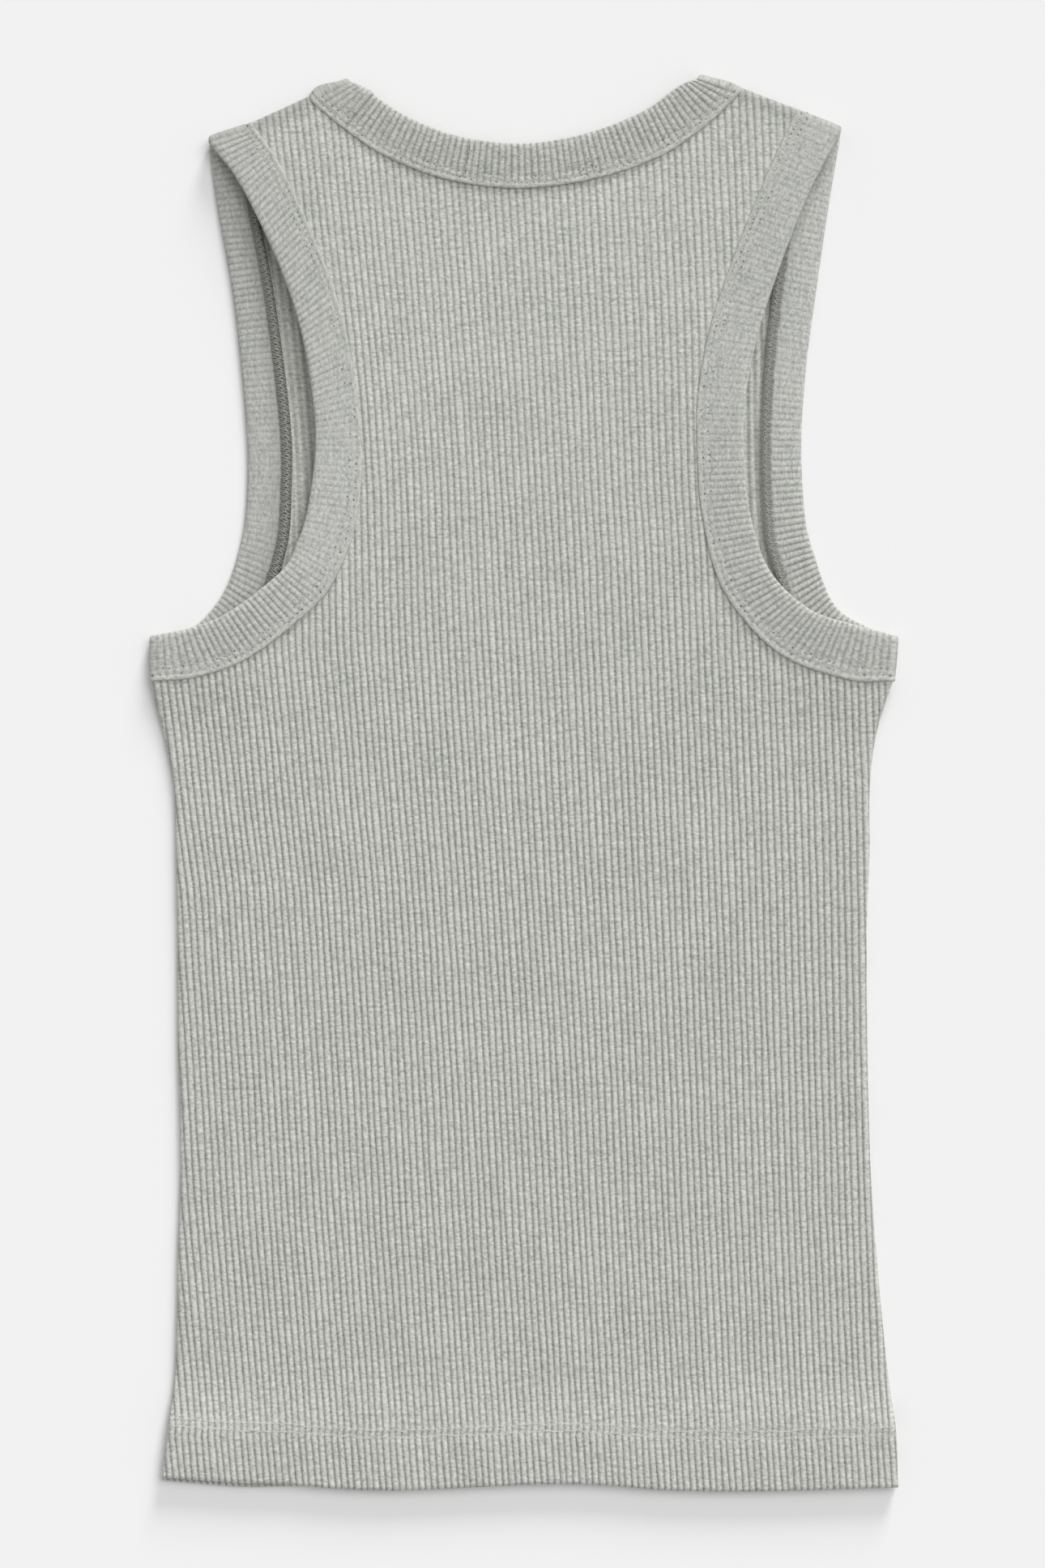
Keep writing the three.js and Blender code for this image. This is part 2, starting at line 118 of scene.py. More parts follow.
class UndersideRow(NamedTuple):
    """Height of the back's underside at its edges and in its middle."""

    y: float
    half_width: float
    edge: float
    middle: float


class Crease(NamedTuple):
    """A soft trough, or a ridge where its depth is negative, between two points."""

    x0: float
    y0: float
    x1: float
    y1: float
    width: float
    depth: float


@dataclass(frozen=True)
class BandRoute:
    """The way of a band round its opening, from the shoulder or neck point over the back and the front."""

    start: BandRow
    end: BandRow
    back: tuple[BandRow, ...]
    front: tuple[BandRow, ...]


LEFT_ARMHOLE = BandRoute(
    start=BandRow(-134.9, 273.5, -115.3, 280.1),
    end=BandRow(-159, 62.4, -159, 42.8),
    back=(
        BandRow(-122.5, 256.7, -105.3, 264.9),
        BandRow(-111.5, 236.1, -95, 244.3),
        BandRow(-101.2, 212.4, -84.4, 219.6),
        BandRow(-93.6, 187.3, -75.8, 192.4),
        BandRow(-89.2, 159.8, -70.6, 162.2),
        BandRow(-88.5, 139.2, -68.6, 136.4),
        BandRow(-91.9, 114.4, -71, 111),
        BandRow(-96.4, 100.7, -77.8, 91.1),
        BandRow(-102.9, 89.3, -87.8, 75.6),
        BandRow(-124.9, 72.2, -115.6, 53.3),
        BandRow(-141.4, 65.3, -138, 44.7),
    ),
    front=(
        BandRow(-130.1, 244, -113.2, 245.7),
        BandRow(-123.2, 204.5, -106, 207.2),
        BandRow(-118, 152.9, -99.1, 153.6),
        BandRow(-117.4, 125.4, -98.5, 124.7),
        BandRow(-119.8, 103.1, -100.9, 97.9),
        BandRow(-127.7, 80.1, -112.2, 68.7),
        BandRow(-141.4, 64.9, -133.5, 48.5),
    ),
)

RIGHT_ARMHOLE = BandRoute(
    start=BandRow(135.9, 277.7, 116.3, 285.6),
    end=BandRow(159.3, 62.2, 157.8, 42.6),
    back=(
        BandRow(125.3, 258.4, 107, 266),
        BandRow(116.7, 239.5, 98.1, 245.4),
        BandRow(106.7, 212.7, 87.5, 218.2),
        BandRow(98.8, 187.3, 78.5, 190),
        BandRow(94, 161.5, 73.7, 162.2),
        BandRow(93.6, 139.2, 73.7, 138.5),
        BandRow(95.7, 115.1, 75.8, 112.7),
        BandRow(104.3, 89.7, 84.7, 81.4),
        BandRow(121.5, 73.2, 107.7, 55),
        BandRow(140.4, 66.7, 136.9, 43.6),
    ),
    front=(
        BandRow(130.1, 247.8, 111.5, 251.9),
        BandRow(124.9, 212.7, 106.7, 216.5),
        BandRow(120.1, 177, 102.6, 180.1),
        BandRow(118, 144.3, 100.9, 144.3),
        BandRow(119.4, 114.1, 101.9, 111.7),
        BandRow(122.9, 98.3, 105.3, 92.8),
        BandRow(131.8, 75.6, 118, 61.9),
        BandRow(145.5, 66, 138, 47.8),
    ),
)

NECK = BandRoute(
    start=BandRow(-74.4, 299, -91.2, 291.1),
    end=BandRow(74.1, 300.7, 92.3, 294.8),
    back=(
        BandRow(-64.8, 292.1, -77.5, 278),
        BandRow(-51.4, 283.2, -60.3, 266.3),
        BandRow(-33.2, 275.4, -38, 257),
        BandRow(-16, 271.8, -18, 252.9),
        BandRow(0.5, 270.8, 1.2, 251.9),
        BandRow(18.4, 273.2, 21.1, 254),
        BandRow(34.9, 277.7, 41.1, 258.8),
        BandRow(52.1, 285.2, 61, 267),
        BandRow(65.8, 295, 79.5, 280.2),
    ),
    front=(
        BandRow(-69.6, 283.5, -87.1, 278),
        BandRow(-55.8, 249.1, -72.3, 240.5),
        BandRow(-33.8, 216.5, -45.5, 201.7),
        BandRow(0.5, 200, 0.5, 181.1),
        BandRow(34.9, 216.5, 46.6, 201.7),
        BandRow(56.9, 249.1, 73.4, 240.5),
        BandRow(69.9, 283.5, 87.8, 279.4),
    ),
)

SIDES = (
    SideRow(-298, -153.6, 158.8),
    SideRow(-275, -151, 158),
    SideRow(-250, -148, 154.6),
    SideRow(-195, -146.6, 149.4),
    SideRow(-160, -145.6, 147.2),
    SideRow(-110, -146.8, 146),
    SideRow(-60, -147, 145.8),
    SideRow(-30, -147.6, 147),
    SideRow(-2, -148.6, 147),
    SideRow(19, -152.7, 149.4),
    SideRow(32.5, -156.2, 153.2),
    SideRow(42, -158, 156.4),
)

HEM = (
    HemRow(-160, -294.6, -296),
    HemRow(-122, -297.4, -299.2),
    HemRow(-100, -298, -299.2),
    HemRow(-81, -299.7, -299),
    HemRow(-55, -300.6, -299.4),
    HemRow(8, -298, -297),
    HemRow(32, -298.3, -297.2),
    HemRow(60, -300.4, -299.2),
    HemRow(95, -301, -299.8),
    HemRow(160, -299.3, -298.2),
)

RIB_DRIFT = (
    DriftRow(-300, 33, 21.9, 12),
    DriftRow(-252, 28.5, 18.6, 8.5),
    DriftRow(-183, 22.2, 14.5, 5.6),
    DriftRow(-114, 17.7, 10.8, 4),
    DriftRow(-46, 13, 6.2, 3.2),
    DriftRow(-11, 8.2, 3.9, 2.7),
    DriftRow(57, 0, 0, 0),
    DriftRow(92, 0.5, -2.1, -0.5),
    DriftRow(126, 1.1, -4, -3.3),
    DriftRow(161, -1.7, -6.2, -3),
    DriftRow(195, -6.7, -8.8, -1.9),
    DriftRow(229, -12.6, -11.2, -3),
    DriftRow(300, -24, -16.2, -5.5),
)

BACK_UNDERSIDE = (
    UndersideRow(-302, 156, 4.6, 4.6),
    UndersideRow(-273, 154, 4.6, 4.6),
    UndersideRow(-258, 152, 1.9, 3.2),
    UndersideRow(-184, 148, 1.9, 3),
    UndersideRow(-81, 148, 1.9, 2.6),
    UndersideRow(22, 150, 2.1, 2.3),
    UndersideRow(46, 132, 3.9, 2.2),
    UndersideRow(105, 78, 3.9, 2.5),
    UndersideRow(167, 74, 3.9, 3.3),
    UndersideRow(300, 95, 3.9, 3.3),
)

BACK_CREASES = (
    Crease(-148, 30, -96, -34, 16, 0.5),
    Crease(146, 26, 100, -30, 14, 0.45),
    Crease(-120, -205, -104, -262, 12, 0.4),
    Crease(96, -70, 104, -190, 17, 0.4),
    Crease(-66, 120, -30, 178, 20, -0.35),
    Crease(70, 150, 48, 214, 18, -0.3),
    Crease(-20, -120, 14, -210, 24, -0.35),
    Crease(40, 20, 30, -60, 22, 0.3),
)

FRONT_CREASES = (
    Crease(-140, 20, -90, -50, 15, 0.4),
    Crease(138, 24, 92, -36, 16, 0.35),
    Crease(-30, 150, 22, 60, 22, 0.3),
    Crease(60, -120, 84, -220, 18, 0.35),
)


def smooth(rows: tuple, key: str, column: str, at: np.ndarray) -> np.ndarray:
    """Reads a table's column between its rows on a smooth curve.

    Args:
        rows: the table, in rising order of its key.
        key: name of the column that at is given in.
        column: name of the column to read.
        at: places to read it at.
    Returns:
        The column's values there.
    """
    keys = np.array([getattr(row, key) for row in rows], float)
    values = np.array([getattr(row, column) for row in rows], float)
    place = np.clip(at, keys[0], keys[-1])
    found = np.clip(np.searchsorted(keys, place) - 1, 0, len(keys) - 2)
    after = np.minimum(np.arange(len(keys)) + 1, len(keys) - 1)
    before = np.maximum(np.arange(len(keys)) - 1, 0)
    slopes = (values[after] - values[before]) / (keys[after] - keys[before])
    span = keys[found + 1] - keys[found]
    t = (place - keys[found]) / span
    rise = values[found + 1] - values[found]
    near, far = slopes[found] * span, slopes[found + 1] * span
    return values[found] + t * (near + t * (3 * rise - 2 * near - far + t * (near + far - 2 * rise)))


def straight(rows: tuple, key: str, column: str, at: np.ndarray) -> np.ndarray:
    """Reads a table's column between its rows on straight lines, with the arguments of smooth."""
    return np.interp(at, [getattr(row, key) for row in rows], [getattr(row, column) for row in rows])


def ease(low: float, high: float, at: np.ndarray) -> np.ndarray:
    """Rises softly from 0 where at is low to 1 where it is high."""
    t = np.clip((at - low) / (high - low), 0, 1)
    return t * t * (3 - 2 * t)


def mix(a: np.ndarray, b: np.ndarray, share: np.ndarray) -> np.ndarray:
    """Goes from a to b by share."""
    return a + (b - a) * share


def curve_through(points: np.ndarray, steps: int = 16) -> np.ndarray:
    """Draws a smooth curve through points.

    Args:
        points: one row for each point, with any number of columns.
        steps: number of steps between two points.
    Returns:
        The curve's own points, in the same columns.
    """
    padded = np.vstack([2 * points[0] - points[1], points, 2 * points[-1] - points[-2]])
    t = np.linspace(0, 1, steps, endpoint=False)[:, None]
    spans = [
        0.5 * (2 * b + (c - a) * t + (2 * a - 5 * b + 4 * c - d) * t**2 + (3 * b - a - 3 * c + d) * t**3)
        for a, b, c, d in zip(padded, padded[1:], padded[2:], padded[3:])
    ]
    return np.vstack([*spans, points[-1:]])


def signed_distance(points: np.ndarray, line: np.ndarray, inside: tuple[float, float]) -> np.ndarray:
    """Measures how far points lie from a line.

    Args:
        points: x and y of each point.
        line: x and y along the line.
        inside: a point on the side where distances are positive.
    Returns:
        The distance of each point.
    """
    tested = np.vstack([points, inside])
    best = np.full(len(tested), 1e9)
    side = np.ones(len(tested))
    for start, step in zip(line[:-1], np.diff(line, axis=0)):
        offset = tested - start
        t = np.clip(offset @ step / (step @ step), 0, 1)
        gap = offset - t[:, None] * step
        distance = np.hypot(gap[:, 0], gap[:, 1])
        nearer = distance < best
        best[nearer] = distance[nearer]
        side[nearer] = np.sign(step[0] * offset[nearer, 1] - step[1] * offset[nearer, 0])
    return best[:-1] * side[:-1] * side[-1]


def route_curve(route: BandRoute, layer: Layer) -> np.ndarray:
    """Draws a band's free edge and seam edge over one half of the garment, as BandRow's columns."""
    rows = route.back if layer is Layer.BACK else route.front
    return curve_through(np.array([route.start, *rows, route.end], float))


def shoulder_y(x: np.ndarray) -> np.ndarray:
    """Gives the shoulders' fold line, which rises from each armhole towards the neck.

    Args:
        x: places across.
    Returns:
        The line's Y there.
    """
    lines = []
    for band, neck in ((LEFT_ARMHOLE.start, NECK.start), (RIGHT_ARMHOLE.start, NECK.end)):
        slope = (neck.seam_y - band.seam_y) / (neck.seam_x - band.seam_x)
        lines.append(band.seam_y + slope * (x - band.seam_x))
    return np.minimum(*lines)


def rib_profile(share: np.ndarray) -> np.ndarray:
    """Gives a rib's height, from 0 in the valley to 1 on its broad crest, at a share of its pitch."""
    return 1 - np.abs(2 * np.mod(share, 1) - 1) ** 2.5


@dataclass
class RibLines:
    """The ribs of a panel: their places and their small unevenness."""

    jog: float  # how far the ribs step aside at the hem's stitching
    wander: float = 0.12
    seed: int = 5
    reach: float = 158  # from the middle to the side, where the drift columns hold
    limit: float = 1.3

    def __post_init__(self) -> None:
        """Draws the ribs' small sideways steps and uneven heights, eased along each rib."""
        rng = np.random.default_rng(self.seed)
        self.first, self.step = -80, 7.0
        drawn = rng.normal(size=(2, 170, 96))
        eased = (drawn + np.roll(drawn, 1, axis=2) + np.roll(drawn, -1, axis=2)) / math.sqrt(3)
        self.aside, self.taller = eased

    def drawn(self, values: np.ndarray, rib: np.ndarray, y: np.ndarray) -> np.ndarray:
        """Reads one of the drawn tables.

        Args:
            values: the table, a row for each rib and a column for each step along it.
            rib: rib coordinates, which count ribs from the middle.
            y: places along.
        Returns:
            The table's values there.
        """
        along = np.clip((y + 310) / self.step, 0, 94)
        row = np.clip(np.floor(rib).astype(int) - self.first, 0, 169)
        low = np.floor(along).astype(int)
        return mix(values[row, low], values[row, low + 1], along - low)

    def x(self, rib: np.ndarray, y: np.ndarray) -> np.ndarray:
        """Places ribs across the panel.

        Args:
            rib: rib coordinates.
            y: places along.
        Returns:
            The ribs' places across.
        """
        base = rib * RIB_PITCH
        share = np.clip(base / self.reach, -self.limit, self.limit)
        middle = straight(RIB_DRIFT, "y", "middle", y)
        side = np.where(share < 0, straight(RIB_DRIFT, "y", "left", y), straight(RIB_DRIFT, "y", "right", y))
        aside = self.wander * self.drawn(self.aside, rib + 0.5, y)
        return base + mix(middle, side, np.abs(share)) + aside - self.jog * (1 - ease(-277, -273.5, y))

    def height(self, rib: np.ndarray, y: np.ndarray) -> np.ndarray:
        """Gives the height of the ribs over their valleys."""
        uneven = 1 + 0.09 * self.drawn(self.taller, rib, y)
        return RIB_HEIGHT * rib_profile(rib) * np.clip(uneven, 0.7, 1.2)


class Laid(NamedTuple):
    """Points of a sheet of cloth."""

    spots: np.ndarray  # x, y and z in millimetres
    cloth: np.ndarray  # place on the cloth itself, across its ribs and along them, in millimetres
    # The ribs attribute also sets how much painted shade the material puts in the valleys
    ribs: np.ndarray  # how clearly the ribs show, from 0 to 1
    # Painted shade, and the knit's own dark ground under looper threads, in the shade attribute
    shade: np.ndarray  # how much the cloth darkens, from 0 to 1


def grid_piece(
    name: str,
    grids: list[tuple[int, int, Callable[[np.ndarray, np.ndarray], Laid]]],
    upward: bool | None,
) -> bpy.types.Object:
    """Makes one sheet of cloth from grids that meet each other.

    Args:
        name: the piece's name.
        grids: for each grid its columns, its rows, and a function that lays a point of a column and a row.
        upward: whether the sheet's outer side looks up on the whole, or None where it runs all round.
    Returns:
        The piece, with its place in its mesh, a UV map in metres along the cloth, and the attributes
        ribs and shade.
    """
    joined = bmesh.new()
    for columns, rows, place in grids:
        part = bmesh.new()
        part.loops.layers.uv.new("cloth")
        for shown in ("ribs", "shade"):
            part.verts.layers.float.new(shown)
        bmesh.ops.create_grid(part, x_segments=columns - 1, y_segments=rows - 1, size=0.5)
        mesh = bpy.data.meshes.new(name)
        part.to_mesh(mesh)
        part.free()
        flat = np.empty(len(mesh.vertices) * 3)
        mesh.vertices.foreach_get("co", flat)
        column = np.rint((flat[0::3] + 0.5) * (columns - 1)).astype(int)
        row = np.rint((flat[1::3] + 0.5) * (rows - 1)).astype(int)
        laid = place(column, row)
        mesh.vertices.foreach_set("co", (in_frame(laid.spots) * MM).ravel())
        corners = np.empty(len(mesh.loops), int)
        mesh.loops.foreach_get("vertex_index", corners)
        mesh.uv_layers["cloth"].data.foreach_set("uv", (laid.cloth[corners] * MM).ravel())
        mesh.attributes["ribs"].data.foreach_set("value", laid.ribs)
        mesh.attributes["shade"].data.foreach_set("value", laid.shade)
        joined.from_mesh(mesh)
        bpy.data.meshes.remove(mesh)
    bmesh.ops.remove_doubles(joined, verts=joined.verts, dist=MERGE * MM)
    bmesh.ops.dissolve_degenerate(joined, edges=joined.edges, dist=MERGE * MM / 2)
    bmesh.ops.recalc_face_normals(joined, faces=joined.faces)
    if upward is not None:
        lean = sum(face.normal.z * face.calc_area() for face in joined.faces)
        if (lean > 0) != upward:
            bmesh.ops.reverse_faces(joined, faces=joined.faces)
    for face in joined.faces:
        face.smooth = True
    return piece_from(joined, name)


def in_frame(spots: np.ndarray) -> np.ndarray:
    """Moves points from the garment's own sizes to the frame, both in millimetres."""
    return spots + np.array([*TABLE_ORIGIN, 0.0])


def piece_from(made: bmesh.types.BMesh, name: str) -> bpy.types.Object:
    """Turns a bmesh into a piece of the scene and frees it.

    Args:
        made: the bmesh.
        name: the piece's name.
    Returns:
        The piece.
    """
    mesh = bpy.data.meshes.new(name)
    made.to_mesh(mesh)
    made.free()
    piece = bpy.data.objects.new(name, mesh)
    bpy.context.collection.objects.link(piece)
    return piece


def thicken(piece: bpy.types.Object, thickness: float) -> None:
    """Gives a sheet its thickness, behind its outer side.

    Args:
        piece: the sheet.
        thickness: its wall in millimetres.
    """
    wall = piece.modifiers.new("thickness", "SOLIDIFY")
    wall.thickness = thickness * MM
    wall.offset = -1
    wall.use_even_offset = False
    wall.use_rim = True


@dataclass
class Panel:
    """The back or the front: rib knit from the hem's inside edge over its fold up to the shoulders."""

    layer: Layer
    creases: tuple[Crease, ...]
    split: float  # height where the armholes' curves turn from the underarm up to the shoulder
    wall_rows: int
    yoke_rows: int
    wall_z: float  # height of the outer side's valleys above the hem's fold
    turnup_z: float  # height of the turned-up hem's outer side
    lap_z: float  # height of the outer side between a band's two layers
    ribs: RibLines
    rests_on: str
    flat: tuple[float, float]  # size of the whole cloth laid flat, in metres
    flat_area: float = 0.15  # without the armholes and the neck, in square metres
    yoke_fade: float = 0  # how much fainter the ribs are up at the yoke, where the cloth is stretched
    rib_span: tuple[int, int] = (-72, 62)
    rib_marks: tuple[float, ...] = (0, 0.13, 0.36, 0.64, 0.87)
    lap: float = 0.2  # share of a band's width that the panel reaches into it
    hem_depth: float = 25
    hem_rows: tuple[float, ...] = (2, 5, 9, 14, 19, 21.6, 22.6, 23.8, 25.4, 26.6, 29)
    stitch_rows: tuple[float, float] = (22.6, 25.8)
    end_rows: tuple[float, ...] = (11, 7, 5.2, 4.3, 3.2, 1.6, 0.5, 0)
    side_round: float = 3
    shoulder_round: float = 3.2
    seam_trough: float = 0.2  # how far the bands' stitching draws the panel down beside them
    shown_ribs: float = 0.6  # how clearly the front's valleys show, whose inner side looks up
    # Painted shade darkens the knit below the shoulders' fold, which slopes towards the low light
    shoulder_shade: float = 9  # how far below the shoulders' fold the knit is a little darker

    def __post_init__(self) -> None:
        """Works out the panel's edges from the bands' routes."""
        self.outward = 1 if self.layer is Layer.BACK else -1  # which way the outer side looks
        self.seams, laps = [], []
        for route in (LEFT_ARMHOLE, NECK, RIGHT_ARMHOLE):
            curve = route_curve(route, self.layer)
            free, seam = curve[:, :2], curve[:, 2:]
            self.seams.append(seam)
            laps.append(mix(seam, free, self.lap))
        left, self.neck, right = laps
        self.left_arm, self.right_arm = left[::-1], right[::-1]
        low_left = self.left_arm[self.left_arm[:, 1] < self.split]
        low_right = right[right[:, 1] < self.split]
        corner = [[float(self.arm_x(arm, self.split)), self.split] for arm in (self.left_arm, self.right_arm)]
        self.underarm = np.vstack([low_left, corner, low_right])

    def arm_x(self, arm: np.ndarray, y: np.ndarray) -> np.ndarray:
        """Gives the panel's edge along an armhole above the split."""
        return np.interp(y, arm[:, 1], arm[:, 0])

    def top_y(self, x: np.ndarray) -> np.ndarray:
        """Gives the panel's upper edge: the neck and both shoulders.

        Args:
            x: places across.
        Returns:
            The edge's Y there.
        """
        far = 999.0
        neck = np.interp(x, self.neck[:, 0], self.neck[:, 1], left=far, right=far)
        return np.minimum(shoulder_y(x), neck)

    def low_top_y(self, x: np.ndarray) -> np.ndarray:
        """Gives the upper edge of the part below the split: the split itself and the underarm curves."""
        return np.interp(x, self.underarm[:, 0], self.underarm[:, 1])

    def hem_y(self, x: np.ndarray) -> np.ndarray:
        """Gives the hem's folded edge."""
        return smooth(HEM, "x", self.layer.value, x)

    def side_x(self, x: np.ndarray, y: np.ndarray) -> np.ndarray:
        """Keeps a place across between the side seams."""
        return np.clip(x, smooth(SIDES, "y", "left", y), smooth(SIDES, "y", "right", y))

    def edge_share(self, x: np.ndarray, y: np.ndarray) -> np.ndarray:
        """Rises like a quarter circle from a side seam or a shoulder fold to the end of its rounding.

        Args:
            x: places across.
            y: places along.
        Returns:
            0 on the edge to 1 beyond its rounding.
        """
        left, right = smooth(SIDES, "y", "left", y), smooth(SIDES, "y", "right", y)
        beside = np.minimum(x - left, right - x) / self.side_round
        below = (shoulder_y(x) - y) / self.shoulder_round
        nearest = np.clip(np.where(y < LEFT_ARMHOLE.end.seam_y, np.minimum(beside, below), below), 0, 1)
        return np.sqrt(1 - (1 - nearest) ** 2)

    def crease_depth(self, x: np.ndarray, y: np.ndarray) -> np.ndarray:
        """Adds up the creases' depths.

        Args:
            x: places across.
            y: places along.
        Returns:
            The depth at each point.
        """
        total = np.zeros_like(x)
        for crease in self.creases:
            step = np.array([crease.x1 - crease.x0, crease.y1 - crease.y0])
            t = ((x - crease.x0) * step[0] + (y - crease.y0) * step[1]) / (step @ step)
            inside = np.clip(t, 0, 1)
            gap = np.hypot(x - crease.x0 - inside * step[0], y - crease.y0 - inside * step[1])
            fading = 0.6 + 0.4 * np.sin(math.pi * inside)
            total += crease.depth * np.exp(-((gap / crease.width) ** 2) * 2) * fading
        return total

    def seam_gap(self, x: np.ndarray, y: np.ndarray) -> np.ndarray:
        """Gives the distance from the nearest band's seam edge, below 0 between the band's layers."""
        points = np.column_stack([x, y])
        return np.min([signed_distance(points, seam, (0.0, 60.0)) for seam in self.seams], axis=0)

    def level(self, x: np.ndarray, y: np.ndarray) -> np.ndarray:
        """Gives the height of the outer side's valleys.

        Args:
            x: places across.
            y: places along.
        Returns:
            The height at each point.
        """
        rounded = self.edge_share(x, y)
        if self.layer is Layer.BACK:
            edge = straight(BACK_UNDERSIDE, "y", "edge", y)
            middle = straight(BACK_UNDERSIDE, "y", "middle", y)
            half = straight(BACK_UNDERSIDE, "y", "half_width", y)
            under = mix(middle, edge, np.clip(np.abs(x) / half, 0, 1) ** 3)
            shoulder = np.clip((shoulder_y(x) - y) / self.shoulder_round, 0, 1)
            under = mix(OVER_FRONT_Z, under, np.sqrt(1 - (1 - shoulder) ** 2))
            sunk = self.crease_depth(x, y) * ease(0, 12, self.hem_gap(x, y) - self.hem_depth)
            return under + BACK_WALL - 0.8 * (1 - rounded) - sunk
        return 0.9 * (1 - rounded) + self.crease_depth(x, y) * rounded

    def hem_gap(self, x: np.ndarray, y: np.ndarray) -> np.ndarray:
        """Gives the distance above the hem's fold."""
        return y - self.hem_y(x)

    def outer_z(
        self, x: np.ndarray, y: np.ndarray, rib: np.ndarray, loose: np.ndarray,
    ) -> tuple[np.ndarray, np.ndarray]:
        """Shapes the ribbed outer side.

        Args:
            x: places across.
            y: places along.
            rib: the rib coordinates there.
            loose: 1 where a rib keeps its own place, 0 where the panel's edge cuts it off.
        Returns:
            The outer side's heights, and how clearly the ribs show.
        """
        beside = self.seam_gap(x, y)
        pressed = 1 - ease(-0.6, 0.5, beside)
        trough = self.seam_trough * np.exp(-(((beside - 0.7) / 0.9) ** 2)) * self.edge_share(x, y)
        gap = self.hem_gap(x, y)
        held = np.clip(sum(np.exp(-(((gap - row) / 0.9) ** 2)) for row in self.stitch_rows), 0, 1)
        shown = loose * (1 - 0.85 * pressed) * (1 - 0.42 * held) * (1 - self.yoke_fade * ease(-40, 220, y))
        ribs = self.ribs.height(rib, y) * shown * (0.25 + 0.75 * self.edge_share(x, y))
        valley = mix(self.level(x, y), self.lap_z, pressed * self.edge_share(x, y))
        if self.layer is Layer.BACK:
            return valley + ribs - trough, shown
        return valley + RIB_HEIGHT - ribs, shown * self.shown_ribs

    def fold_rows(self) -> list[tuple[float, float, float]]:
        """Lists the rows of the turned-up hem and its fold.

        Returns:
            For each row its distance above the fold, its height, and the height that a rib adds there.
        """
        rows = [(up, self.turnup_z, -self.outward) for up in (self.hem_depth, self.hem_depth / 2, 3.5)]
        radius = abs(self.wall_z - self.turnup_z) / 2
        middle = (self.wall_z + self.turnup_z) / 2
        for turn in (-90, -50, -18, 18, 50, 90):
            angle = math.radians(turn)
            rows.append((
                radius * (1 - math.cos(angle)),
                middle + self.outward * radius * math.sin(angle),
                self.outward * math.sin(angle),
            ))
        return rows

    def build(self, name: str) -> bpy.types.Object:
        """Makes the panel's cloth.

        Args:
            name: the piece's name.
        Returns:
            The cloth, still without its thickness.
        """
        marks = np.array(self.rib_marks)
        first, last = self.rib_span
        ribs = (np.arange(first, last)[:, None] + marks).ravel()
        folds = self.fold_rows()
        wall = [(0.0, row, 0.0) for row in self.hem_rows]
        above = self.hem_rows[-1]
        for n in range(1, self.wall_rows + 1):
            share = n / (self.wall_rows + 1)
            wall.append((share, above * (1 - share), self.end_rows[0] * share))
        wall += [(1.0, 0.0, row) for row in self.end_rows]
        yoke = [(n / self.yoke_rows, self.end_rows[0] * n / self.yoke_rows) for n in range(self.yoke_rows)]
        yoke += [(1.0, row) for row in self.end_rows]

        def lower(column: np.ndarray, row: np.ndarray) -> Laid:
            """Lays the part from the turned-up hem to the split.

            Args:
                column: each point's column.
                row: each point's row.
            Returns:
                The points.
            """
            rib = ribs[column]
            folded = row < len(folds)
            fold = np.array(folds)[np.minimum(row, len(folds) - 1)]
            plan = np.array(wall)[np.maximum(row - len(folds), 0)]
            x = self.ribs.x(rib, np.full_like(rib, HEM_Y))
            for _ in range(8):
                hem, top = self.hem_y(x), self.low_top_y(x)
                y = np.where(folded, hem + fold[:, 0], mix(hem, top, plan[:, 0]) + plan[:, 1] - plan[:, 2])
                own = self.ribs.x(rib, np.where(folded, hem, y))
                x = self.side_x(own, y)
            loose = (x == own).astype(float)
            z, shown = self.outer_z(x, y, rib, loose)
            ribbed = self.ribs.height(rib, np.full_like(rib, HEM_Y)) * self.edge_share(x, y) * loose
            z = np.maximum(np.where(folded, fold[:, 1] + ribbed * fold[:, 2], z), REST_Z)
            turned_up = folded & (fold[:, 2] * self.outward < 0)
            along = np.where(turned_up, 2 * hem - y, y)
            shown = np.where(folded, loose, shown)
            spots = np.column_stack([x, y, z])
            return Laid(spots, np.column_stack([rib * RIB_PITCH, along]), shown, np.zeros_like(shown))

        def upper(column: np.ndarray, row: np.ndarray) -> Laid:
            """Lays the part from the split up to the neck and the shoulders.

            Args:
                column: each point's column.
                row: each point's row.
            Returns:
                The points.
            """
            rib = ribs[column]
            plan = np.array(yoke)[row]
            x = self.ribs.x(rib, np.full_like(rib, self.split))
            for _ in range(14):
                y = mix(self.split, self.top_y(x), plan[:, 0]) - plan[:, 1]
                low, high = self.arm_x(self.left_arm, y), self.arm_x(self.right_arm, y)
                x = np.clip(self.ribs.x(rib, y), low, high)
            clamped = (x <= low) | (x >= high)
            z, shown = self.outer_z(x, y, rib, np.ones_like(x))
            z = np.maximum(np.where(clamped, self.lap_z, z), REST_Z)
            # Painted shade below the shoulders' fold, where the cloth slopes up towards the low light
            shade = 0.38 * (1 - ease(0, self.shoulder_shade, shoulder_y(x) - y))
            return Laid(np.column_stack([x, y, z]), np.column_stack([rib * RIB_PITCH, y]), shown, shade)

        columns = len(ribs)
        grids = [(columns, len(folds) + len(wall), lower), (columns, len(yoke), upper)]
        return grid_piece(name, grids, self.layer is Layer.BACK)

    def make(self, knit: bpy.types.Material, sewing: bpy.types.Material) -> None:
        """Makes and dresses the cloth and its hem's stitches.

        Args:
            knit: the cloth's finish.
            sewing: the thread's finish.
        """
        name = self.layer.value
        self.cloth = self.build(f"{name}_rib_cloth")
        thicken(self.cloth, CLOTH)
        dress(self.cloth, knit)
        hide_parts(f"{name}_panel")
        stitching = HemStitching(self)
        self.stitches = thread(f"{name}_hem_stitches", stitching.rows(), stitching.thread_width)
        dress(self.stitches, sewing)

    def lay(self) -> None:
        """Does nothing: it is called once both panels are made, and states neither the cloth's cut nor what it
        rests on.
        """


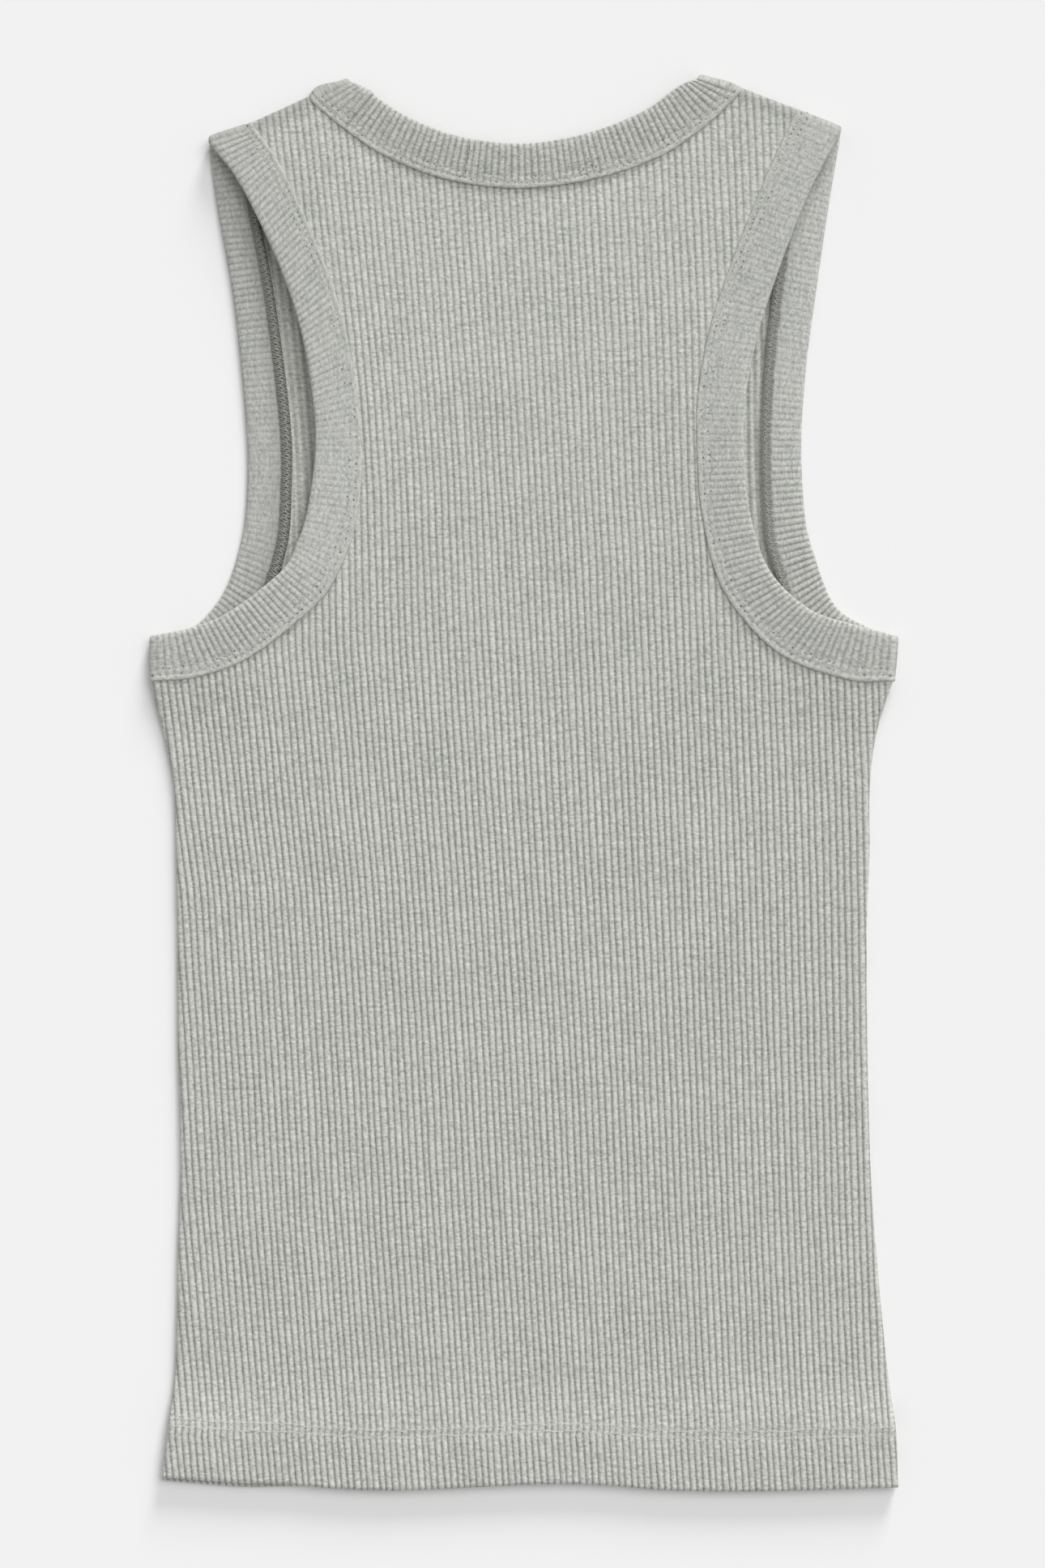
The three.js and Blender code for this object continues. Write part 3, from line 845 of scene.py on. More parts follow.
class SectionRow(NamedTuple):
    """A point of a band's section, from the seam edge over the outer side round the free fold and back."""

    across: float  # share of the width, from the free fold to the seam edge
    out: float  # distance outwards from the middle between the band's two layers
    ribbed: float  # how much of the ribs' height it has
    covered: float = 0  # 1 where the looper threads cover it


BAND_SECTION = (
    SectionRow(1.0, 0.5, 0),
    SectionRow(1.008, 0.75, 0),
    SectionRow(0.996, 1.08, 0),
    SectionRow(0.975, 1.24, 0.1),
    SectionRow(0.945, 1.28, 0.2),
    SectionRow(0.915, 1.2, 0.3),
    SectionRow(0.894, 1.1, 0.4),
    SectionRow(0.872, 1.2, 0.5),
    SectionRow(0.82, 1.36, 0.7),
    SectionRow(0.78, 1.28, 0.7),
    SectionRow(0.76, 1.2, 0.7),
    SectionRow(0.74, 1.28, 0.8),
    SectionRow(0.68, 1.38, 1),
    SectionRow(0.5, 1.4, 1),
    SectionRow(0.3, 1.4, 1),
    SectionRow(0.14, 1.36, 1),
    SectionRow(0.05, 1.15, 1),
    SectionRow(0.01, 0.7, 0.9),
    SectionRow(0.0, 0, 0.8),
    SectionRow(0.012, -0.7, 0.8),
    SectionRow(0.06, -1.15, 0.9),
    SectionRow(0.2, -1.35, 1),
    SectionRow(0.45, -1.4, 1),
    # From here the rows carry painted shade beside the looper strip, rising softly into its dark ground
    SectionRow(0.66, -1.39, 0.9, 0.12),
    SectionRow(0.735, -1.36, 0.6, 0.4),
    SectionRow(0.752, -1.3, 0.3, 1),
    SectionRow(0.88, -1.26, 0.2, 1),
    SectionRow(1.0, -1.2, 0.1, 1),
)


def section_way() -> np.ndarray:
    """Measures round a band's section.

    Returns:
        The way to each of its rows, in millimetres.
    """
    section = np.array(BAND_SECTION)
    lengths = np.hypot(np.diff(section[:, 0]) * BAND_WIDTH, np.diff(section[:, 1]))
    return np.concatenate([[0], np.cumsum(lengths)])


class WayRow(NamedTuple):
    """How a band lies at a share of its way over the back."""

    share: float
    lift: float  # how far its free fold stands off the front half
    ribs: float  # how clearly its ribs show
    lean: float  # how far a rib's seam end lies behind its free end, back towards the start
    shade: float = 0  # how much the knit darkens, where it turns from the light


LEFT_WAY = (
    WayRow(0, 2.2, 1, 0, 0.14),
    WayRow(0.1, 3.8, 1, 6.5, 0.12),
    WayRow(0.28, 3.8, 1, 7.5, 0.11),
    WayRow(0.42, 2.8, 0.6, 4.5, 0.08),
    WayRow(0.55, 1.9, 0.3, 1.2, 0.02),
    WayRow(0.68, 1.4, 0.35, 0),
    WayRow(0.8, 1, 1.1, 1.5),
    WayRow(0.93, 0.8, 1.3, 4.5),
    WayRow(1, 0.6, 1, 0),
)
RIGHT_WAY = (
    WayRow(0, 1.4, 0.3, 0, 0.06),
    WayRow(0.2, 2.6, 0.35, 1.5, 0.04),
    WayRow(0.45, 2.4, 0.3, 0.6),
    WayRow(0.65, 1.8, 0.8, 0),
    WayRow(0.8, 1.2, 1.3, 1),
    WayRow(0.93, 0.8, 1.3, 3),
    WayRow(1, 0.6, 1, 0),
)
NECK_WAY = (
    WayRow(0, 0.8, 0.5, 0, 0.05),
    WayRow(0.07, 0.5, 0.6, 0, 0.05),
    WayRow(0.09, 0.4, 1, 0),
    WayRow(0.5, 0, 1, 0),
    WayRow(0.8, 0.2, 0.9, 0),
    WayRow(1, 0.8, 0.8, 0),
)


@dataclass
class Band:
    """A doubled strip of rib knit round an opening, folded at its free edge and stitched at its seam edge."""

    name: str
    route: BandRoute
    way: tuple[WayRow, ...]
    rib_height: float
    # The knit's own dark ground under the looper threads, with painted shade added where the opening lies in
    # shade
    covered_shade: float  # how dark the knit is under its looper threads
    rounded: tuple[float, float]  # how far the free fold draws in at the route's start and end
    swell: tuple[float, float] = (0, 0)  # how far the turns bulge there, most of all near the seam edge
    join: float | None = None  # share of the way where the strip's ends are sewn together
    join_step: float = 0.9  # how far the strip's first end stands out there
    front_shade: float = 0.13  # how dark the front half's inner side is, which lies in the opening's shade
    front_ribs: float = 0.5  # how clearly the ribs show there
    pitch: float = 2.8
    marks: tuple[float, ...] = (0, 0.14, 0.38, 0.62, 0.86)
    raised: float = 0.3  # how far the upper half's crests stand over the section
    turn_steps: int = 10
    corner: float = 6.5  # how far from a turn the free fold is drawn in
    join_width: float = 0.55
    join_depth: float = 0.3
    # Painted shade in the groove where the strip's ends are sewn together
    join_shade: float = 0.25
    # Painted shade where the band turns over a shoulder and looks towards the low light
    turn_shade: float = 0.35  # how much the knit darkens where it turns over a shoulder
    strip_width: float = 0.047  # of the strip laid flat, in metres
    seed: int = 11

    def __post_init__(self) -> None:
        """Lays the ring of stations: the back half, a turn, the front half and the turn back."""
        start = self.turn_row(self.route.start, self.route.back[0])
        end = self.turn_row(self.route.end, self.route.back[-1])
        halves = []
        for rows in (self.route.back, self.route.front):
            ends = [[*start[0], *start[1]], *[list(row) for row in rows], [*end[0], *end[1]]]
            halves.append(curve_through(np.array(ends, float), 24))
        back, front = halves[0], halves[1][::-1]
        turn = np.linspace(0, math.pi, self.turn_steps + 1)[1:-1]
        still = np.zeros
        pieces = [
            (back, still((len(back), 2)), still(len(back))),
            (np.repeat(back[-1:], len(turn), 0), np.repeat([end[2]], len(turn), 0), turn),
            (front, still((len(front), 2)), np.full(len(front), math.pi)),
            (np.repeat(back[:1], len(turn), 0), np.repeat([start[2]], len(turn), 0), turn[::-1]),
            (back[:1], still((1, 2)), still(1)),
        ]
        self.edges = np.vstack([piece[0] for piece in pieces])
        self.outward = np.vstack([piece[1] for piece in pieces])
        self.turn = np.concatenate([piece[2] for piece in pieces])
        middle = (self.edges[:, :2] + self.edges[:, 2:]) / 2
        steps = np.hypot(*np.diff(middle, axis=0).T) + TURN_RADIUS * np.abs(np.diff(self.turn))
        self.along = np.concatenate([[0], np.cumsum(steps)])
        self.length = self.along[-1]
        self.back_length = self.along[len(back) - 1]
        self.count = round(self.length / self.pitch)
        rng = np.random.default_rng(self.seed)
        self.uneven = rng.normal(size=(3, self.count + 1))

    @staticmethod
    def turn_row(row: BandRow, neighbour: BandRow) -> tuple[np.ndarray, np.ndarray, np.ndarray]:
        """Draws a turn's line in from the outline by the turn's reach.

        Args:
            row: the band's edges on the outline.
            neighbour: the next row inside it.
        Returns:
            The free end, the seam end and the outward direction.
        """
        free, seam = np.array(row[:2], float), np.array(row[2:], float)
        outward = np.array([free[1] - seam[1], seam[0] - free[0]])
        outward /= np.hypot(*outward)
        inside = (np.array(neighbour[:2]) + np.array(neighbour[2:]) - free - seam) / 2
        if outward @ inside > 0:
            outward = -outward
        return free - outward * TURN_REACH, seam - outward * TURN_REACH, outward

    def place(self, along: np.ndarray, across: np.ndarray, out: np.ndarray) -> np.ndarray:
        """Gives points on the band.

        Args:
            along: distance round the ring.
            across: share of the width from the free fold to the seam edge.
            out: distance outwards from the middle between the two layers.
        Returns:
            x, y and z of each point.
        """
        way = np.mod(along, self.length)
        edges = np.column_stack([np.interp(way, self.along, column) for column in self.edges.T])
        outward = np.column_stack([np.interp(way, self.along, column) for column in self.outward.T])
        turn = np.interp(way, self.along, self.turn)
        norm = np.maximum(np.hypot(outward[:, 0], outward[:, 1]), 1e-6)
        outward = np.where(norm[:, None] > 0.3, outward / norm[:, None], outward)
        free = 1 - np.clip(across, 0, 1)
        moved = across + self.drawn_in(way) * free**3 / BAND_WIDTH
        flat = mix(edges[:, :2], edges[:, 2:], moved[:, None])
        radius = TURN_RADIUS + out
        at_end = np.abs(way - self.back_length) < self.length / 4
        swelling = np.where(at_end, self.swell[1], self.swell[0]) * np.sin(math.pi * (1 - free) ** 2)
        flat = flat + outward * ((radius + swelling) * np.sin(turn))[:, None]
        raised = self.along_way("lift", way) * self.lift(along) * free**1.3
        return np.column_stack([flat, TURN_MIDDLE + radius * np.cos(turn) + raised])

    def along_way(self, column: str, along: np.ndarray) -> np.ndarray:
        """Reads a column of the band's table, which the front half follows back to the start.

        Args:
            column: the column's name.
            along: distance round the ring.
        Returns:
            The column's values there.
        """
        way = np.mod(along, self.length)
        there, back = way / self.back_length, (self.length - way) / (self.length - self.back_length)
        return straight(self.way, "share", column, np.where(there <= 1, there, back))

    def drawn_in(self, way: np.ndarray) -> np.ndarray:
        """Gives how far the free fold draws in at both turns, less how far it stands out up to the join.

        Args:
            way: distance round the ring.
        Returns:
            The fold's step inwards, in millimetres.
        """
        half_turn = TURN_RADIUS * math.pi / 2
        to_start = np.minimum(np.abs(way + half_turn), np.abs(way + half_turn - self.length))
        to_end = np.abs(way - self.back_length - half_turn)
        total = np.zeros_like(way)
        for gap, depth in zip((to_start, to_end), self.rounded):
            total += depth * (1 - np.clip(gap / self.corner, 0, 1)) ** 2
        if self.join is not None:
            at = self.join * self.back_length
            past = np.where(way > 0.75 * self.length, way - self.length, way)
            total -= self.join_step * ease(-2.4, 2, past) * (1 - ease(at - 2.2, at + 0.9, past))
        return total

    def find(self, x: float, y: float) -> tuple[float, float]:
        """Finds a point of the back half on the band.

        Args:
            x: its place across the garment.
            y: its place along the garment.
        Returns:
            The distance round the ring, and the share of the width from the free fold.
        """
        count = np.count_nonzero(self.along <= self.back_length)
        free, seam = self.edges[:count, :2], self.edges[:count, 2:]
        ray = seam - free
        off = np.array([x, y]) - free
        across = (off * ray).sum(axis=1) / (ray**2).sum(axis=1)
        best = int(np.argmin(np.hypot(*(off - across[:, None] * ray).T)))
        return float(self.along[best]), float(across[best])

    def lift(self, along: np.ndarray) -> np.ndarray:
        """Tells how much of the upper half's extra height holds: 1 on the back, 0 in front."""
        return (1 + np.cos(np.interp(np.mod(along, self.length), self.along, self.turn))) / 2

    def turned_up(self, along: np.ndarray) -> np.ndarray:
        """Tells how much the band turns over a shoulder, where its side looks towards +Y.

        Args:
            along: distance round the ring.
        Returns:
            0 where it lies flat to 1 in the middle of the turn.
        """
        way = np.mod(along, self.length)
        upward = np.maximum(np.interp(way, self.along, self.outward[:, 1]), 0)
        return upward * np.sin(np.interp(way, self.along, self.turn))

    def outer(self, along: np.ndarray, across: np.ndarray) -> np.ndarray:
        """Gives how far out the crests of the outer side stand.

        Args:
            along: distance round the ring.
            across: share of the width from the free fold to the seam edge.
        Returns:
            The distance from the middle between the two layers.
        """
        rows = BAND_SECTION[:18]
        return np.interp(across, [row.across for row in rows][::-1], [row.out for row in rows][::-1]) + (
            self.raised * self.lift(along)
        )

    def build(self, name: str) -> bpy.types.Object:
        """Makes the band's cloth.

        Args:
            name: the piece's name.
        Returns:
            The cloth, still without its thickness.
        """
        marks = np.array(self.marks)
        stations = np.append((np.arange(self.count)[:, None] + marks).ravel(), self.count)
        section = np.array(BAND_SECTION)
        cloth_across = section_way()

        def ring(column: np.ndarray, row: np.ndarray) -> Laid:
            """Lays the strip round the opening.

            Args:
                column: each point's column.
                row: each point's row.
            Returns:
                The points.
            """
            station = stations[column]
            across, out, ribbed, covered = section[row].T
            along = station / self.count * self.length
            rib = np.minimum(np.floor(station).astype(int), self.count - 1)
            taller = 1 + 0.12 * self.uneven[0, rib]
            aside = 0.1 * np.clip(self.uneven[1, rib], -1.2, 1.2) * np.sin(math.pi * np.clip(across, 0, 1))
            front_inside = (1 - self.lift(along)) * (out < 0)
            shown = ribbed * self.along_way("ribs", along) * (1 - (1 - self.front_ribs) * front_inside)
            depth = self.rib_height * (1 - rib_profile(station) * np.clip(taller, 0.7, 1.2)) * shown
            # Painted shade: in the looper strip on top of its dark ground, where the band turns from the
            # light, on the front half's shaded inner side, and over the shoulder turns
            shade = covered * self.covered_shade + self.along_way("shade", along) * self.lift(along)
            shade += self.front_shade * (0.6 + 2.2 * across**2) * front_inside
            shade += self.turn_shade * self.turned_up(along)
            if self.join is not None:
                beside = along - self.join * self.back_length
                groove = np.exp(-((beside / self.join_width) ** 2)) * (out > 0)
                depth = depth + self.join_depth * groove
                # Painted shade in the join's groove
                shade += self.join_shade * groove
            out = out - np.sign(out) * depth + self.raised * self.lift(along) * (out > 0)
            aside -= self.along_way("lean", along) * self.lift(along) * np.clip(across, 0, 1)
            spots = self.place(along + aside * ((station > 0) & (station < self.count)), across, out)
            spots[:, 2] = np.maximum(spots[:, 2], REST_Z)
            cloth = np.column_stack([station * RIB_PITCH, cloth_across[row]])
            return Laid(spots, cloth, shown, np.clip(shade, 0, 1))

        return grid_piece(name, [(len(stations), len(section), ring)], None)

    def make(
        self, knit: bpy.types.Material, sewing: bpy.types.Material, loopers: bpy.types.Material,
    ) -> list[bpy.types.Object]:
        """Makes and dresses the strip, its top stitches and its looper threads.

        Args:
            knit: the strip's finish.
            sewing: the top stitches' finish.
            loopers: the looper threads' finish.
        Returns:
            The strip, followed by the pieces that are sewn into it.
        """
        cloth = self.build(f"{self.name}_binding")
        thicken(cloth, CLOTH)
        dress(cloth, knit)
        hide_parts(f"{self.name}_band")
        stitching = BandStitching(self)
        top = thread(f"{self.name}_top_stitches", stitching.needle_rows(), stitching.thread_width)
        net = thread(f"{self.name}_looper_threads", stitching.looper_net(), stitching.looper_width)
        dress(top, sewing)
        dress(net, loopers)
        return [cloth, top, net]

    def lay(self, cloth: bpy.types.Object, sewn: list[bpy.types.Object]) -> None:
        """Does nothing: it states neither the strip's cut nor what it rests on.

        Args:
            cloth: the strip; not used.
            sewn: the pieces that are sewn into it; not used.
        """


def thread(name: str, paths: Paths, thickness: float) -> bpy.types.Object:
    """Lays threads along paths.

    Args:
        name: the piece's name.
        paths: the threads' paths.
        thickness: the thread's diameter in millimetres.
    Returns:
        One mesh of all the threads.
    """
    curve = bpy.data.curves.new(name, "CURVE")
    curve.dimensions = "3D"
    curve.bevel_depth = thickness / 2 * MM
    curve.bevel_resolution = 1
    curve.use_fill_caps = True
    for points, closed in paths:
        spline = curve.splines.new("POLY")
        spline.points.add(len(points) - 1)
        placed = in_frame(points) * MM
        spline.points.foreach_set("co", np.column_stack([placed, np.ones(len(points))]).ravel())
        spline.use_cyclic_u = closed
    drawn = bpy.data.objects.new(name, curve)
    mesh = bpy.data.meshes.new_from_object(drawn)
    bpy.data.objects.remove(drawn)
    bpy.data.curves.remove(curve)
    mesh.name = name
    mesh.polygons.foreach_set("use_smooth", np.ones(len(mesh.polygons), bool))
    piece = bpy.data.objects.new(name, mesh)
    bpy.context.collection.objects.link(piece)
    return piece


@dataclass
class BandStitching:
    """The two needle rows on a band's outer side, and the looper threads that cover its inner raw edge."""

    band: Band
    thread_width: float = 0.26
    looper_width: float = 0.46

    def needle_rows(self) -> Paths:
        """Draws both rows of top stitches, which dive into the cloth at each needle hole.

        Returns:
            One closed path for each row.
        """
        paths = []
        count = round(self.band.length / STITCH_LENGTH)
        step = self.band.length / count
        for distance in NEEDLE_ROWS:
            across = 1 - distance / BAND_WIDTH
            shares = np.array([0.0, 0.16, 0.5, 0.84])
            sunk = np.array([-0.55, -0.06, 0.06, -0.06])
            along = ((np.arange(count)[:, None] + shares) * step).ravel()
            level = self.band.outer(along, np.full_like(along, across)) - 0.12
            out = level + np.tile(sunk, count)
            spots = self.band.place(along, np.full_like(along, across), out)
            spots[:, 2] = np.maximum(spots[:, 2], self.thread_width / 2 + REST_Z)
            paths.append((spots, True))
        return paths

    def looper_net(self) -> Paths:
        """Draws the looper threads, which zigzag between the needle rows and over the raw edge.

        Returns:
            One closed path for each thread.
        """
        count = round(self.band.length / STITCH_LENGTH)
        step = self.band.length / count
        far, near = (1 - distance / BAND_WIDTH for distance in reversed(NEEDLE_ROWS))
        edge = 0.985
        patterns = (
            ((0.0, far), (0.22, near), (0.5, edge), (0.78, near)),
            ((0.1, edge), (0.3, near + 0.02), (0.6, far), (0.9, near)),
            ((0.0, near - 0.03), (0.35, near + 0.03), (0.6, near + 0.02), (0.85, near - 0.03)),
        )
        rng = np.random.default_rng(31)
        paths = []
        for number, pattern in enumerate(patterns):
            shares, across = np.array(pattern).T
            loose = rng.normal(size=(2, count * len(pattern)))
            along = ((np.arange(count)[:, None] + shares) * step).ravel() + 0.13 * loose[0]
            out = -BAND_HALF - 0.02 - 0.1 * number - 0.05 * np.cos(along * 2.1)
            paths.append((self.band.place(along, np.tile(across, count) + 0.011 * loose[1], out), True))
        return paths


@dataclass
class LabelTacks:
    """The short dark stitches on the neck band that hold a label's corners on its inner side."""

    band: Band
    tacks: tuple[tuple[float, float, float, float], ...] = (
        (-22.9, 270.2, -24.6, 257.6),
        (26.6, 266.3, 29.0, 260.5),
    )
    thread_width: float = 0.22
    steps: int = 9

    def make(self, sewing: bpy.types.Material) -> bpy.types.Object:
        """Makes and dresses the tacks.

        Args:
            sewing: the thread's finish.
        Returns:
            The tacks as one piece.
        """
        piece = thread(f"{self.band.name}_label_tacks", self.paths(), self.thread_width)
        dress(piece, sewing)
        return piece

    def paths(self) -> Paths:
        """Draws each tack from its upper to its lower end, half sunk in the knit.

        Returns:
            One open path for each tack.
        """
        paths = []
        for x0, y0, x1, y1 in self.tacks:
            share = np.linspace(0, 1, self.steps)
            found = [self.band.find(mix(x0, x1, part), mix(y0, y1, part)) for part in share]
            along, across = np.array(found).T
            sunk = np.where(np.arange(self.steps) % 4 == 2, 0.3, 0.04)
            paths.append((self.band.place(along, across, self.band.outer(along, across) - sunk), False))
        return paths


@dataclass
class HemStitching:
    """The two rows of stitches that hold a panel's turned-up hem."""

    panel: Panel
    thread_width: float = 0.36
    inset: float = 1.5
    loose_end: tuple[tuple[float, float], ...] = (
        (22.3, -276.4), (22.8, -278.6), (23.3, -280.4), (24.2, -279.4), (25.3, -278.2),
    )

    def rows(self) -> Paths:
        """Draws the rows from one side seam to the other, and the thread end that sticks out on the back.

        Returns:
            One open path for each row, and one for the thread end.
        """
        paths = []
        rng = np.random.default_rng(23)
        for number, height in enumerate(self.panel.stitch_rows):
            left, right = (float(smooth(SIDES, "y", side, np.array(-275.0))) for side in ("left", "right"))
            count = int((right - left - 2 * self.inset) / STITCH_LENGTH)
            shares = np.array([0.0, 0.2, 0.5, 0.8])
            sunk = np.array([-0.5, 0.08, -0.3, 0.08])
            beats = (np.arange(count)[:, None] + shares + 0.4 * number).ravel()
            x = left + self.inset + beats * STITCH_LENGTH
            waver = np.repeat(rng.normal(size=count) * 0.25, 4)
            y = self.panel.hem_y(x) + height + waver + np.tile([0.35, -0.05, -0.4, -0.05], count)
            ribs = 0.62 * RIB_HEIGHT
            if self.panel.layer is Layer.BACK:
                z = self.panel.level(x, y) + ribs + np.tile(sunk, count)
            else:
                z = np.maximum(RIB_HEIGHT - ribs - np.tile(sunk, count), self.thread_width / 2 + REST_Z)
            paths.append((np.column_stack([x, y, z]), False))
        if self.panel.layer is Layer.BACK:
            x, y = np.array(self.loose_end).T
            paths.append((np.column_stack([x, y, self.panel.level(x, y) + RIB_HEIGHT + 0.1]), False))
        return paths


def linear(colour: str) -> tuple[float, float, float, float]:
    """Turns an sRGB hex value into the linear colour that a shader takes."""
    parts = [int(colour[n:n + 2], 16) / 255 for n in (1, 3, 5)]
    return (*[part / 12.92 if part <= 0.04045 else ((part + 0.055) / 1.055) ** 2.4 for part in parts], 1.0)


def add(
    tree: bpy.types.NodeTree, kind: str, inputs: dict | None = None, **settings: object,
) -> bpy.types.Node:
    """Adds a node with its settings and links.

    Args:
        tree: the material's node tree.
        kind: the node's type.
        inputs: values or other nodes' outputs for its inputs, by name or number.
        settings: values for its properties.
    Returns:
        The node.
    """
    made = tree.nodes.new(kind)
    for name, value in settings.items():
        setattr(made, name, value)
    for name, value in (inputs or {}).items():
        if isinstance(value, bpy.types.NodeSocket):
            tree.links.new(value, made.inputs[name])
        else:
            made.inputs[name].default_value = value
    return made


class Streaks(NamedTuple):
    """One size of the streaks that the mixed fibres draw, in millimetres across and along the ribs."""

    width: float
    height: float
    detail: float
    shift: float


# Single fibres and the knit's loops are too fine to show, so they are drawn coarser: the fibres as blots of
# FIBRE's size, the loops as SPECK's
FIBRE = Streaks(1.7, 1.2, 2, 3)
HEATHER = Streaks(8, 1.8, 2, 11)
CLOUD = Streaks(30, 24, 1, 23)
SPECK = Streaks(0.7, 0.8, 1, 37)


@dataclass(frozen=True)
class RibKnit:
    """Cotton rib knit spun from pale and dark grey fibres, washed and a little fuzzy.

    It gives the eye a matt grey with heather streaks across pale ribs, soft valleys darkened by painted shade,
    and no gloss.
    """

    name: str
    pale: str
    grey: str
    dark: str
    # How dark the painted shade in the ribs' valleys is
    valley: float  # how dark the ribs' valleys are
    valley_power: float  # how narrow they are
    holes: bool = False
    # Colour of the painted shade in the valleys
    valley_shade_tone: str = "#55564f"
    # Painted shade, and the knit's own dark ground under looper threads
    shade_and_looper_tone: str = "#34362f"
    # Painted shade inside the needle holes
    hole_shade_tone: str = "#33352f"

    def build(self) -> bpy.types.Material:
        """Makes the material.

        Returns:
            The material, for a cloth with the UV map cloth and the attributes ribs and shade.
        """
        material = bpy.data.materials.new(self.name)
        material.use_nodes = True
        tree = material.node_tree
        tree.nodes.clear()
        cloth = add(tree, "ShaderNodeUVMap", uv_map="cloth").outputs["UV"]
        axes = add(tree, "ShaderNodeSeparateXYZ", {"Vector": cloth})

        # Heather: fibres lie along the courses, so their streaks run across the ribs
        noises = []
        for streaks in (FIBRE, HEATHER, CLOUD, SPECK):
            scaled = add(tree, "ShaderNodeMapping", {
                "Vector": cloth,
                "Scale": (1 / (streaks.width * MM), 1 / (streaks.height * MM), 1),
                "Location": (streaks.shift, streaks.shift * 1.7, 0),
            })
            noise = add(tree, "ShaderNodeTexNoise", {
                "Vector": scaled.outputs["Vector"], "Scale": 1.0, "Detail": streaks.detail, "Roughness": 0.62,
            })
            noises.append(noise.outputs["Fac"])
        fibre, heather, cloud, speck = noises
        first = add(tree, MATH, {0: fibre, 1: 0.62}, operation="MULTIPLY")
        second = add(tree, MATH, {0: heather, 1: 0.3, 2: first.outputs[0]}, operation="MULTIPLY_ADD")
        third = add(tree, MATH, {0: cloud, 1: 0.08, 2: second.outputs[0]}, operation="MULTIPLY_ADD")
        shades = add(tree, "ShaderNodeValToRGB", {"Fac": third.outputs[0]})
        ramp = shades.color_ramp
        ramp.elements[0].position = 0.36
        ramp.elements[0].color = linear(self.dark)
        ramp.elements[1].position = 0.62
        ramp.elements[1].color = linear(self.pale)
        ramp.elements.new(0.5).color = linear(self.grey)

        # Painted shade in the valleys between the ribs, as clear as the sheet says
        shown = add(tree, "ShaderNodeAttribute", attribute_name="ribs").outputs["Fac"]
        count = add(tree, MATH, {0: axes.outputs["X"], 1: RIB_PITCH * MM}, operation="DIVIDE")
        share = add(tree, MATH, {0: count.outputs[0]}, operation="FRACT")
        signed = add(tree, MATH, {0: share.outputs[0], 1: 2.0, 2: -1.0}, operation="MULTIPLY_ADD")
        away = add(tree, MATH, {0: signed.outputs[0]}, operation="ABSOLUTE")
        deep = add(tree, MATH, {0: away.outputs[0], 1: self.valley_power}, operation="POWER")
        rough = add(tree, MATH, {0: speck, 1: 1.5, 2: 0.15}, operation="MULTIPLY_ADD")
        broken = add(tree, MATH, {0: deep.outputs[0], 1: rough.outputs[0]}, operation="MULTIPLY")
        there = add(tree, MATH, {0: broken.outputs[0], 1: shown}, operation="MULTIPLY")
        sunk = add(tree, MATH, {0: there.outputs[0], 1: self.valley}, operation="MULTIPLY",
                   use_clamp=True)
        ribbed = add(tree, "ShaderNodeMix", {
            0: sunk.outputs[0], 6: shades.outputs["Color"], 7: linear(self.valley_shade_tone),
        }, data_type="RGBA")

        # Painted shade from the shade attribute, where the cloth turns from the light and where it lies in the
        # opening's shade, together with the knit's own dark ground under looper threads
        shade = add(tree, "ShaderNodeAttribute", attribute_name="shade").outputs["Fac"]
        patchy = add(tree, MATH, {0: fibre, 1: 1.1, 2: 0.35}, operation="MULTIPLY_ADD")
        shade_and_looper_dark = add(tree, MATH, {0: shade, 1: patchy.outputs[0]}, operation="MULTIPLY", use_clamp=True)
        shaded = add(tree, "ShaderNodeMix", {
            0: shade_and_looper_dark.outputs[0], 6: ribbed.outputs[2], 7: linear(self.shade_and_looper_tone),
        }, data_type="RGBA")
        last = shaded.outputs[2]
        if self.holes:
            last = self.needle_holes(tree, axes, last)

        # Loops of yarn, which roughen each rib
        nub = add(tree, MATH, {0: speck, 1: 0.7}, operation="MULTIPLY")
        grain = add(tree, MATH, {0: fibre, 1: 0.3, 2: nub.outputs[0]}, operation="MULTIPLY_ADD")
        bump = add(tree, "ShaderNodeBump", {
            "Height": grain.outputs[0], "Strength": 0.55, "Distance": 0.45 * MM,
        })
        shader = add(tree, "ShaderNodeBsdfPrincipled", {
            "Base Color": last, "Roughness": 0.95, "IOR": 1.5, "Specular IOR Level": 0.2,
            "Sheen Weight": 0.12, "Sheen Roughness": 0.5, "Normal": bump.outputs["Normal"],
        })
        add(tree, "ShaderNodeOutputMaterial", {"Surface": shader.outputs["BSDF"]})
        return material

